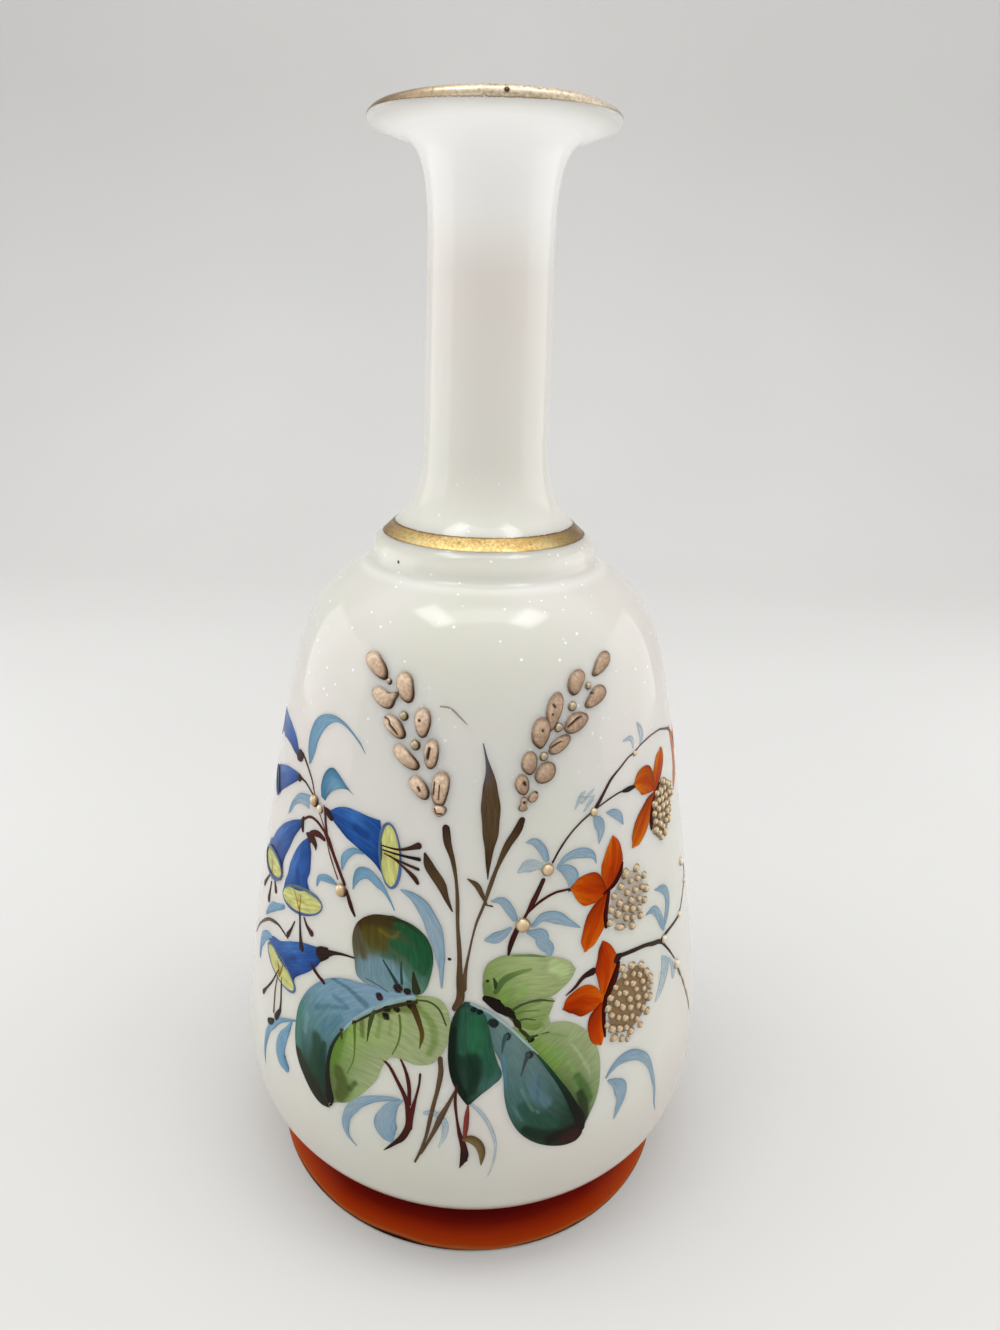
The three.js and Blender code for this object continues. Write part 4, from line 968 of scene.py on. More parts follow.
gather("painted_leaf_left_round", [
    between([(-16.4, 78.8), (-22, 78.6), (-26.5, 79.6), (-27.4, 83), (-28.1, 88), (-26.8, 92),
             (-23, 94.9), (-17.9, 95.9)],
            [(-13.4, 79), (-11, 79.6), (-9.5, 83), (-8.8, 88), (-10, 92), (-13.2, 94.7), (-17.9, 95.9)],
            [(132, 160, 170, 0.85), (122, 150, 158, 0.9), (96, 92, 66), (72, 58, 26), (54, 48, 20)],
            [(106, 132, 118, 0.9), (60, 102, 76), (26, 80, 48), (30, 74, 44), (26, 48, 26)], lift=0.06,
            dabs=[
                ([(-24.4, 82, 5), (-20, 83, 6), (-16.6, 82, 4)], (108, 138, 148), 0.9),
                ([(-26.6, 91.6, 2.6), (-22, 93.6, 4), (-17, 94.6, 2.4)], (60, 44, 14), 0.9),
                ([(-24, 90.4, 3.6), (-20.4, 91, 4)], OCHRE, 0.85),
                ([(-23.4, 88.6, 2.2), (-20, 88.4, 2.2)], (78, 72, 20), 0.75),
                ([(-21, 92, 0.8), (-18, 91, 0.8), (-16.4, 92.6, 0.6)], (122, 108, 36), 0.4),
                ([(-27.2, 90.6, 2), (-26, 87.6, 2.6), (-25, 84.8, 1.6)], (84, 76, 56), 0.85),
                ([(-17, 94, 1.6), (-13, 92.6, 3), (-10.6, 88, 3), (-11, 84.6, 2)], (24, 78, 46), 0.85),
                ([(-17.6, 89.6, 2.4), (-14, 88.4, 3), (-12.6, 85.6, 2)], (26, 84, 52), 0.85),
                ([(-20.4, 86.4, 1.4), (-17.6, 87, 1.6)], (48, 90, 74), 0.6)]),
    *strokes(
        0.12,
        ([(-20.2, 85.4, 0.3), (-18.4, 83, 0.6), (-17, 81, 1)], (32, 62, 56)),
        ([(-15.9, 86, 0.3), (-15.9, 83.6, 0.5), (-15.7, 81, 0.7)], (32, 70, 56)),
        ([(-13.1, 84.2, 0.4), (-12.9, 82.4, 1.2), (-12.4, 80, 2)], (44, 48, 26)),
        ([(-19.4, 94.8, 0.3), (-15.6, 95, 0.6), (-12, 93.2, 0.3)], (40, 52, 26)),
        ([(-24.4, 79.9, 0.3), (-21.5, 79.3, 0.4), (-19, 78.3, 0.3)], (84, 112, 124))),
    *blots((-16.6, 79.8, 2.8, (52, 32, 26)), (-14.4, 79.5, 2.2, (44, 30, 22))),
], dark_green_enamel, "left_leaf_round")
right_rib = [(-0.6, 78.6), (2.4, 77.2), (4.8, 75.3), (8, 72), (11, 68.7), (13.9, 65.5), (16.4, 62),
             (18.9, 58.4), (21.4, 54.3), (23.9, 49.8), (25.9, 46), (26.6, 42)]
gather("painted_leaf_right_broad", [
    between([(-0.6, 77.6), (2.6, 75.4), (3.6, 72), (4.6, 68), (6.4, 64), (7.1, 60), (7.4, 56),
             (8.2, 52), (9.6, 48.5), (11.8, 45.3), (14.8, 42.8), (18.5, 41), (22.3, 40.1), (25.2, 40.4),
             (26.4, 41.6)],
            right_rib,
            [TEAL, (82, 110, 108), (84, 114, 114), (66, 100, 96), (44, 74, 60), (26, 38, 26), (38, 16, 12)],
            [(82, 110, 108), (102, 126, 122), (94, 120, 118), (76, 104, 102), (36, 64, 50), (18, 16, 10)],
            lift=0.04,
            dabs=[
                ([(6.9, 66, 0.6), (7.3, 62, 0.7), (7.6, 58, 0.5)], (76, 124, 156), 0.7),
                ([(13.4, 59.6, 3), (14.6, 56, 3), (17, 53, 3)], (86, 116, 124), 0.7),
                ([(15.2, 60, 0.9), (15.1, 56.4, 0.9), (15, 53, 0.6)], (70, 100, 116), 0.8),
                ([(12, 52.6, 3), (14.6, 49, 4), (18.6, 47, 4)], (36, 74, 58), 0.8),
                ([(11.2, 57, 0.5), (13.2, 52.6, 0.6), (16.2, 50, 0.4)], (126, 156, 152), 0.35),
                ([(9.4, 53, 0.5), (11.4, 49.4, 0.6)], (116, 146, 142), 0.3),
                ([(12.6, 46.6, 2.4), (16, 44.6, 3), (20, 44, 2.4)], (20, 38, 26), 0.9),
                ([(22.6, 53.4, 1.4), (24, 49.6, 2.2), (25.4, 46.4, 2.4)], (16, 26, 16), 0.9),
                ([(18.4, 42.8, 2.6), (22, 43.4, 3), (25.8, 44.4, 2.6)], (22, 16, 10), 0.9),
                ([(21.6, 42, 2), (24.8, 42.4, 3)], (50, 20, 16), 0.9)]),
    between(right_rib[3:],
            [(10.6, 72.8), (14, 71.6), (17, 72.2), (20.4, 72), (23.8, 70.4), (26.6, 67.8), (28.8, 64.6),
             (30.2, 61), (30.7, 57), (30.6, 53), (29.8, 49.5), (28.4, 46.4), (27, 43.6), (26.6, 42)],
            [LEAF_MID, (106, 132, 62), (98, 124, 58), (66, 92, 42), (30, 42, 20), (22, 20, 12)],
            [LEAF, LEAF_PALE, LEAF_PALE, LEAF_PALE, (126, 150, 96, 0.85), (84, 96, 70, 0.9)], lift=0.05,
            turned_marks=True,
            dabs=[
                ([(13.4, 68.8, 2), (16, 66.4, 2), (19, 62, 2)], (112, 144, 62), 0.7),
                ([(18, 66, 2.4), (20.6, 63, 2.6)], (112, 148, 78), 0.6),
                ([(22, 62, 1), (24, 58, 1.2), (25, 54, 1)], (120, 156, 84), 0.6),
                ([(24.4, 57.6, 2), (26.4, 54, 2.6), (28, 50.6, 2)], (64, 96, 42), 0.85),
                ([(25.4, 53, 2), (26.6, 49.4, 2.6), (27, 46, 2)], (36, 48, 26), 0.9),
                ([(22.8, 66, 0.7), (26, 61, 0.8), (28, 56.6, 0.5)], (190, 208, 162), 0.3)]),
    *strokes(
        0.1,
        ([(-0.4, 78.3, 0.6), (4, 76, 0.7), (8, 72.5, 0.7), (12, 68.3, 0.6), (14.6, 65.3, 0.4)],
         (146, 170, 166)),
        ([(13.6, 66.4, 0.4), (16.4, 62.6, 0.7), (19, 58.8, 1), (21.6, 54.6, 1.4), (24, 50, 2),
          (25.9, 46, 2.4), (26.4, 43.4, 1.6)], [(40, 84, 50), (14, 50, 32), (16, 22, 12), (28, 18, 12)]),
        ([(10.6, 73.8, 0.3), (12.4, 74.3, 0.4), (14.4, 74.4, 0.3)], (112, 138, 78)),
        ([(14.6, 70, 0.5), (18, 69.6, 0.5), (21.6, 68, 0.3)], (118, 148, 78)),
        ([(12.4, 65.6, 1.2), (11.6, 63, 0.7), (11, 60.6, 0.3)], (60, 72, 74)),
        ([(7.4, 70.6, 1.2), (6.8, 68.8, 0.8), (6.6, 66.6, 0.3)], (54, 82, 84))),
    *blots((4.4, 73.8, 3, (34, 46, 46)), (7.7, 70.5, 2.2, (48, 60, 62)), (12.7, 65.5, 2.4, (58, 56, 56)),
           (13, 69, 1.8, (20, 26, 10))),
], green_enamel, "right_leaf_broad")
gather("painted_leaf_right_dark", [
    between([(-1.8, 78.7), (-3.6, 76.5), (-4.8, 73), (-5.2, 68), (-5.1, 63.5), (-4.2, 59.5), (-2.4, 56),
             (-0.9, 53.9)],
            [(-0.6, 78.6), (2.4, 76.8), (3.4, 74), (4, 71), (4.7, 67.5), (5.8, 64), (6.7, 61),
             (4.6, 58.5), (2.4, 56.6), (0, 54.1)],
            [(28, 54, 40), (16, 34, 22), (12, 28, 16), (12, 26, 16), (14, 24, 16)],
            [(50, 84, 74), (38, 88, 62), (38, 84, 60), (50, 90, 76, 0.95), (64, 104, 94, 0.9), (26, 44, 34)],
            lift=0.06,
            dabs=[
                ([(0.4, 74.4, 3), (0.6, 70, 4), (1, 66.4, 3)], (40, 100, 66), 0.85),
                ([(-1.6, 76.4, 2), (-2, 72, 2.4), (-2, 67, 2)], (46, 92, 72), 0.6),
                ([(0.4, 65, 3.4), (0.6, 61, 3), (0, 57.4, 2.4)], (18, 42, 28), 0.9),
                ([(-4, 72, 1.4), (-4.4, 66, 1.8), (-3.4, 60, 2.2), (-1.4, 56, 1.6)], (10, 24, 14), 0.9),
                ([(3.4, 66, 1.8), (4, 62, 2)], (30, 84, 60), 0.7)]),
    *blots((0.2, 77, 1.8, (22, 40, 38)), (1.5, 76.5, 1.8, (24, 36, 34))),
], dark_green_enamel, "right_leaf_dark")
gather("painted_leaf_right_upper", [
    between([(2.2, 80.2), (1.9, 83), (2.6, 87), (5.4, 89), (9, 89.4), (12, 89), (15.5, 88.2),
             (19, 87.1), (21.5, 85.7), (22.9, 83.8)],
            [(2.6, 79.8), (5.4, 78.2), (8, 77), (11, 78.2), (14.4, 78.5), (17.4, 78.6), (20.2, 80.2),
             (22.2, 82), (22.9, 83.6)],
            [(108, 130, 70, 0.9), (138, 156, 96), (156, 172, 116), LEAF_PALE, LEAF_PALE],
            [(58, 78, 34), LEAF_MID, LEAF, LEAF, LEAF_PALE], lift=0.05,
            dabs=[
                ([(2.8, 83, 1.6), (3, 80.8, 2.4)], (96, 124, 62), 0.8),
                ([(6, 79.2, 2.4), (7.4, 81.4, 2)], (120, 154, 72), 0.7),
                ([(10, 80, 2), (11.4, 82.4, 1.4)], (134, 168, 88), 0.6),
                ([(17.6, 85.6, 3), (20, 84, 3)], (182, 204, 140), 0.6)]),
    between([(7.4, 77.6), (9, 77.2), (12, 78.2), (15, 78.3), (17.6, 78), (17.6, 76), (16.9, 74.4),
             (17.2, 72.6)],
            [(7.6, 75), (9, 73.4), (10.4, 71.6), (12, 70.2), (13.6, 70.4), (15.4, 71.2), (16.6, 71.6),
             (17.4, 72)],
            [LEAF_MID, LEAF, LEAF, LEAF_PALE], [(70, 92, 42), LEAF_MID, LEAF_MID, LEAF_PALE], lift=0.055,
            dabs=[([(10, 76, 1.2), (11.6, 77, 1), (14.6, 77.6, 0.8)], LEAF_MID, 0.6),
                  ([(11.4, 71.4, 1.6), (14.6, 72, 1.4)], LEAF_MID, 0.7)]),
    *strokes(
        0.1,
        ([(4.8, 81, 1.2), (6.4, 83.6, 1.5), (9.2, 85, 1.2), (12.4, 85.6, 0.5)],
         [(70, 94, 42), (88, 116, 58), (134, 162, 92, 0.7)]),
        ([(4.3, 84.1, 0.4), (4.8, 82.6, 0.9), (4.9, 81.2, 0.7)], (44, 58, 22)),
        ([(8.2, 89.1, 0.3), (12, 88.8, 0.5), (15.4, 88, 0.3)], (104, 132, 74)),
        ([(8, 76.3, 0.7), (11.3, 77.8, 0.5), (14.7, 78.1, 0.5), (18, 77.3, 0.3)], (62, 84, 34)),
        ([(9.3, 73.7, 0.6), (11.5, 74.2, 0.5), (13.7, 73.7, 0.3)], (66, 88, 38)),
        ([(8.4, 75.2, 0.5), (11, 76, 0.5), (14.6, 75.8, 0.3)], (96, 122, 58)),
        ([(12.2, 69.5, 0.9), (14.2, 69.9, 0.5), (17, 70.2, 0.3)], (50, 66, 28)),
        ([(2.6, 79.6, 1.4), (4.2, 78.6, 2.4), (5.8, 77.2, 2.2), (7, 76, 1.2)], (22, 14, 6)),
        ([(7.2, 77, 1), (8.2, 75.9, 1.8), (9, 74.8, 1)], (26, 20, 8)),
        ([(9, 74.4, 0.8), (9.7, 73.4, 1.5), (10.4, 72.2, 0.7)], (34, 34, 14)),
        ([(10.4, 71.8, 0.7), (11.6, 70.6, 0.9), (13, 69, 0.7)], (44, 56, 24))),
    *blots((5, 78.2, 3, (18, 12, 6)), (7.6, 76.2, 2.6, (22, 14, 6))),
], green_enamel, "right_leaf_upper")


# Grass at the foot
# Thin maroon, olive and black blades that cross below the leaves, with a small brown leaf.
gather("foot_grass", [
    brush(points, colour, other, lift=lift) for points, colour, other, lift in (
        ([(-20.7, 62.1, 0.4), (-18.6, 60.7, 0.7), (-16.5, 57.3, 0.9), (-14.8, 54, 1), (-14, 50.7, 1.3),
          (-13.8, 46.9, 1.7), (-15.3, 43.2, 1.5), (-17.3, 40.9, 1), (-19.8, 38.2, 0.2)],
         [MAROON, MAROON, BLACK_BROWN], None, 0.05),
        ([(-16.1, 63.6, 0.3), (-14.6, 60.3, 0.8), (-13.8, 56.5, 0.9), (-13.8, 52.3, 1)], MAROON, None, 0.06),
        ([(-11.3, 60.3, 0.6), (-11.5, 57.8, 0.5), (-12.3, 54, 0.7), (-13.2, 49.8, 1.2),
          (-13.6, 46.1, 1.2)],
         MAROON, None, 0.06),
        ([(-6.9, 64.8, 1.2), (-6.7, 61.5, 1.2), (-7.3, 57.3, 1), (-8.2, 53.2, 0.9), (-9, 49, 1),
          (-9.8, 44.8, 0.7), (-11.1, 40.3, 0.7), (-12.3, 37.1, 0.5)], OLIVE, TAUPE, 0.05),
        ([(-3.4, 57.3, 0.5), (-4.8, 54, 0.9), (-6.5, 50.3, 1.3), (-7.8, 46.9, 1.1), (-9.4, 43.2, 0.7),
          (-10.9, 39.8, 0.5)], OLIVE, TAUPE, 0.06),
        ([(-3.2, 58.6, 0.6), (-3.4, 54.8, 0.7), (-3, 50.7, 0.6), (-2.3, 46.5, 0.9), (-1.3, 42.8, 1.6),
          (-1.1, 40.3, 1.8), (-2.1, 36.9, 0.2)], [MAROON, MAROON, BLACK_BROWN], None, 0.07),
        ([(-1.1, 41.4, 1.4), (-0.7, 39.2, 0.7)], BLACK_BROWN, None, 0.07),
        ([(-0.5, 54, 0.4), (-0.7, 51.5, 1), (-0.9, 48.2, 1.2), (-1.1, 45.7, 0.9)], (120, 50, 40), None, 0.06),
        ([(-1.9, 44.8, 0.6), (0.2, 45, 2), (2, 43.6, 2.2), (2.8, 41.2, 1.6), (2.7, 37.8, 0.2)], OLIVE,
         (125, 105, 60), 0.08),
        ([(-5.4, 88.2, 0.7), (-5.2, 88.2, 0.7)], BROWN, None, 0.05),
        ([(2.85, 83.6, 0.6), (3.05, 83.6, 0.6)], BROWN, None, 0.12))
], stem_enamel)


# Stems of the orange flowers
# A brown line that winds from bead to bead, a side branch to the lower flower, and a thinner one
# that climbs and falls round the side with small pearls at its joints.
gather("flower_stems", strokes(
    0.05,
    ([(7.3, 89.4, 0.6), (7.7, 91.5, 1.2), (8.9, 94.7, 1.1), (10.7, 97.7, 0.7), (12.5, 101.1, 1.2),
      (14.4, 105.2, 1)],
     [BLACK_BROWN, MAROON, BROWN]),
    ([(16.4, 108.8, 0.5), (18, 111.5, 0.5), (20.3, 114.3, 0.45), (23, 116.5, 0.45),
      (25.3, 117.8, 0.5)],
     [BROWN, (84, 62, 48)]),
    ([(26.6, 118.6, 1), (28.5, 121.1, 0.85), (30.7, 123.8, 0.65), (33.5, 125.6, 0.5),
      (36.2, 127.1, 0.4), (38, 127.5, 0.4), (40.7, 128.4, 0.35), (44.4, 129, 0.35),
      (47.5, 129, 0.35), (51.2, 128.6, 0.4), (54.4, 127.6, 0.5), (57.5, 126.6, 0.6),
      (60.3, 125.2, 0.7), (64.8, 122.3, 0.6), (69, 118, 0.5)],
     [BROWN, (92, 70, 58), (110, 72, 52)]),
    ([(11.2, 98.4, 0.5), (13.9, 100.6, 0.6), (17.1, 102, 0.6), (19.8, 102.2, 0.5), (21, 102.2, 0.5)],
     MAROON),
    ([(20.6, 102, 0.6), (21.6, 102.4, 1.5), (23, 103.6, 1), (24.4, 104.4, 0.3)], (34, 16, 12)),
    ([(27.1, 118.6, 0.4), (29.8, 119.5, 0.4), (33, 120.2, 0.4), (35, 120.2, 0.5)], [(96, 74, 58), BROWN]),
    ([(34.6, 120.2, 0.7), (36.4, 120.1, 1.2), (38.7, 120.1, 0.9)], (34, 16, 12)),
    ([(20.8, 78, 0.3), (23, 79.4, 0.7), (25, 81.2, 1.2), (27.4, 81.8, 1.8)], [MAROON, BLACK_BROWN]),
    ([(32, 82, 2.2), (33.6, 82.4, 2.9), (35, 82.8, 1.6)], (36, 14, 12)),
    ([(35.3, 82.9, 1.1), (39.8, 82.4, 1), (43.9, 81.8, 1), (47.1, 80.8, 1.1), (49.8, 80, 1.1),
      (51.4, 79, 0.9), (53.2, 77.2, 0.6), (55.6, 74.8, 0.5), (58.6, 71.4, 0.4)],
     [(44, 22, 18), BROWN, BROWN]),
    ([(50.6, 79.8, 0.9), (53.2, 80.3, 0.9), (56.4, 80.4, 0.8), (59.4, 80.4, 0.7), (62, 80.5, 0.7),
      (64.2, 81.8, 0.6), (66.6, 83.7, 0.5), (69, 85.4, 0.5), (70, 87.6, 0.4), (67.6, 91, 0.4)],
     [BROWN, BROWN, TAUPE, TAUPE]),
    ([(60.4, 68.4, 0.5), (62.4, 65.6, 0.9), (63.8, 63.8, 0.4), (65.8, 61, 0.9), (67.2, 58.8, 0.4),
      (69, 56.2, 0.9), (70.4, 54, 0.4), (71.8, 51.6, 0.8), (73, 49, 0.3)],
     [(*OLIVE, 0.9), (142, 124, 96, 0.8), (142, 124, 96, 0.6)]),
), stem_enamel)


# Orange flowers
# Three flowers seen from the side: broad orange petals, redder along one edge and the vein, with
# thin dark crescents where they meet the seed head. The petals of a fourth run round the side.
ORANGE, RED, DEEP = (212, 102, 6), (164, 44, 1), (92, 20, 2)
orange_enamel = enamel("orange_enamel", roughness=0.28, depth=0.2, thin=0.12, specular=0.02)
flowers = (
    ("upper",
     ([(47.1, 116.1, 0.8), (47.6, 117.4, 2.8), (48.4, 119, 4.4), (49.6, 120.9, 5.4), (50.5, 122.6, 4.8),
       (51, 123.8, 2.8), (51, 124.6, 0.4)],
      [(46.8, 116.8, 1), (45.8, 117.8, 3.4), (44.4, 119, 5.2), (42.6, 120.2, 6.2), (40.9, 120.7, 5.4),
       (39.5, 120.7, 3.4), (38.5, 120.6, 0.6)],
      [(46.6, 115.6, 1), (45.3, 114.6, 3.4), (43.6, 113, 4.8), (41.8, 111, 5.3), (40.3, 109, 4.9),
       (39.2, 107.6, 3.6), (38.5, 106.9, 1.2)]),
     ([(49.8, 117, 0.5), (47.5, 115.4, 1.2), (46, 113.6, 1.4), (45.5, 110.6, 1.6), (45.7, 108.2, 0.8)],)),
    ("middle",
     ([(30.7, 99.3, 1), (31, 101, 3.6), (31.4, 103, 5.3), (31.9, 105.4, 6.1), (32, 107.8, 5),
       (31.9, 109.6, 3), (31.6, 111.2, 0.4)],
      [(30.4, 98.8, 1), (29.2, 99.4, 3.6), (27.5, 100.2, 5.8), (25.6, 101.1, 7.2), (23.9, 101.7, 6.4),
       (22.4, 102.1, 4.2), (21, 102.2, 0.5)],
      [(30.3, 98.4, 1.5), (29.3, 96.6, 4.2), (28.3, 94.6, 5.4), (27.4, 92.4, 5.5), (26.4, 90.2, 4.9),
       (25.7, 88.6, 3.8), (25.3, 87.5, 1.2)]),
     ([(34.9, 104.3, 0.5), (34.2, 102.2, 1.2), (32.4, 100.2, 1.1), (29.6, 99, 0.6)],
      [(31, 99.4, 0.9), (30.5, 96.4, 1.2), (30.2, 94, 1.4), (30.6, 91.2, 0.9)])),
    ("lower",
     ([(29.8, 88.1, 0.4), (30.2, 86.6, 3), (30.8, 84.6, 5), (31.2, 82.2, 6.1), (31.2, 79.6, 5.2),
       (31, 77.4, 3.4), (30.7, 75.8, 1.6)],
      [(20.3, 74.9, 0.6), (21.2, 75.2, 3.4), (22.8, 75.6, 5.6), (25, 75.6, 6.9), (27.2, 75.1, 6.4),
       (28.8, 74.5, 4.4), (30, 74, 2.2)],
      [(29.9, 72.6, 2.4), (29.2, 70.6, 4.2), (29, 68.4, 4.7), (29.3, 66.4, 4.2), (29.9, 64.8, 3),
       (30.5, 63.5, 0.8)]),
     ([(34.6, 81.3, 1.2), (33.7, 78.5, 2), (32.2, 75.8, 1.9), (31, 73, 1.4), (31, 68.5, 1.1),
       (31.6, 64.9, 0.5)],)),
)
for yellow, (name, petals, crescents) in zip((18, 6, 0), flowers):
    ripe = [(red, green + yellow, blue + yellow // 3) for red, green, blue in (RED, (192, 76, 5), ORANGE)]
    shaded = [DEEP, (156, 42 + yellow, 4), (196, 80 + yellow, 8)]
    gather(f"painted_flower_{name}", [
        *(brush(points, ripe, shaded, lift=0.06 + 0.02 * i, pool=0.25,
                dabs=[([(x, y, width * 0.3) for x, y, width in points], RED, 0.65)])
          for i, points in enumerate(petals)),
        *(brush(points, (74, 18, 8), (34, 12, 8), lift=0.13) for points in crescents),
    ], orange_enamel, f"flower_{name}")
gather("side_petals", [
    brush([(59.4, 126.4, 0.5), (61.6, 123.4, 2.2), (63.6, 119.4, 3.6), (63.6, 115.8, 4),
           (61.8, 113, 2.6), (60.6, 111.4, 0.6)],
          [(186, 92, 50, 0.9), (200, 112, 70, 0.85)], (206, 128, 90, 0.8)),
    brush([(66, 123, 0.6), (69.4, 121.4, 3.4), (72.8, 120.6, 3.6), (75.4, 120, 0.5)], (204, 96, 40, 0.95)),
], orange_enamel)


# Wheat grains
# Flat, uneven drops of raised paste enamel, pinkish and dull, each with a brown line round its foot.
# They are painted lighter on one side and darker on the other as painted light and shade, and the
# line is drawn heavier on the shaded side as painted shade. Some were slit or pricked while the
# paste was soft.
def lump(master, shape, height, tints, square=2.0, dents=(), shade=0.6, edge_line=0.72):
    """A copy of a unit dome, laid on the glass inside a closed shape and coloured.
    tints are the painted lit side, the painted shaded far side and the line round the foot, which is
    drawn heavier on the shaded side as painted shade. Dents are runs of (x, y, width), pressed in and
    darkened."""
    shade_turn, sunk, dent_darkening = 0.8, 0.6, 1.1
    piece = master.copy()
    piece.data = master.data.copy()
    bpy.context.collection.objects.link(piece)
    flat = np.empty(len(piece.data.vertices) * 3)
    piece.data.vertices.foreach_get("co", flat)
    a, b, h = flat.reshape(-1, 3).T
    reach, turn = np.hypot(a, b), np.arctan2(b, a)
    edge = smooth([*shape, shape[0]])[:-1, :2]
    centre = (edge.min(0) + edge.max(0)) / 2
    spoke = edge - centre
    length = np.interp(turn, np.arctan2(spoke[:, 1], spoke[:, 0]), np.hypot(*spoke.T), period=2 * math.pi)
    x, y = centre[0] + reach * length * np.cos(turn), centre[1] + reach * length * np.sin(turn)
    h = np.sign(h) * np.clip(1 - reach ** square, 0, 1) ** 0.5
    # Painted light and shade: one side of the drop takes the lit colour and the other the far colour.
    low = np.clip(0.5 + 0.5 * shade * reach * np.cos(turn + shade_turn) / 0.6, 0, 1)[:, None]
    # The line round the foot is drawn heavier on the shaded side, as painted shade.
    rim = (np.clip((reach - edge_line) / 0.2, 0, 1) * (0.7 + 0.3 * np.cos(turn + shade_turn)))[:, None]
    lit, far, line = (shades(tint, reach) for tint in tints)
    paint = lit * (1 - low) + far * low
    for run in dents:
        sink = np.clip(1.3 - away(x, y, run, 0.2), 0, 1)
        h = np.where(h > 0, h * (1 - sunk * sink), h)
        paint = paint * (1 - sink[:, None]) + line * dent_darkening * sink[:, None]
    paint = paint * (1 - rim) + line * rim
    paint[:, 3] = lit[:, 3]
    piece.data.vertices.foreach_set("co", on_glass(x, y, h * height).ravel())
    piece.data.color_attributes.new("paint", "FLOAT_COLOR", "POINT").data.foreach_set("color", paint.ravel())
    return piece


def unit_dome(segments, rings):
    """A smooth round form of unit size, to be laid as a drop of paste and removed at the end."""
    bpy.ops.object.select_all(action="DESELECT")
    bpy.ops.mesh.primitive_uv_sphere_add(segments=segments, ring_count=rings, radius=1)
    bpy.ops.object.shade_smooth()
    return bpy.context.object


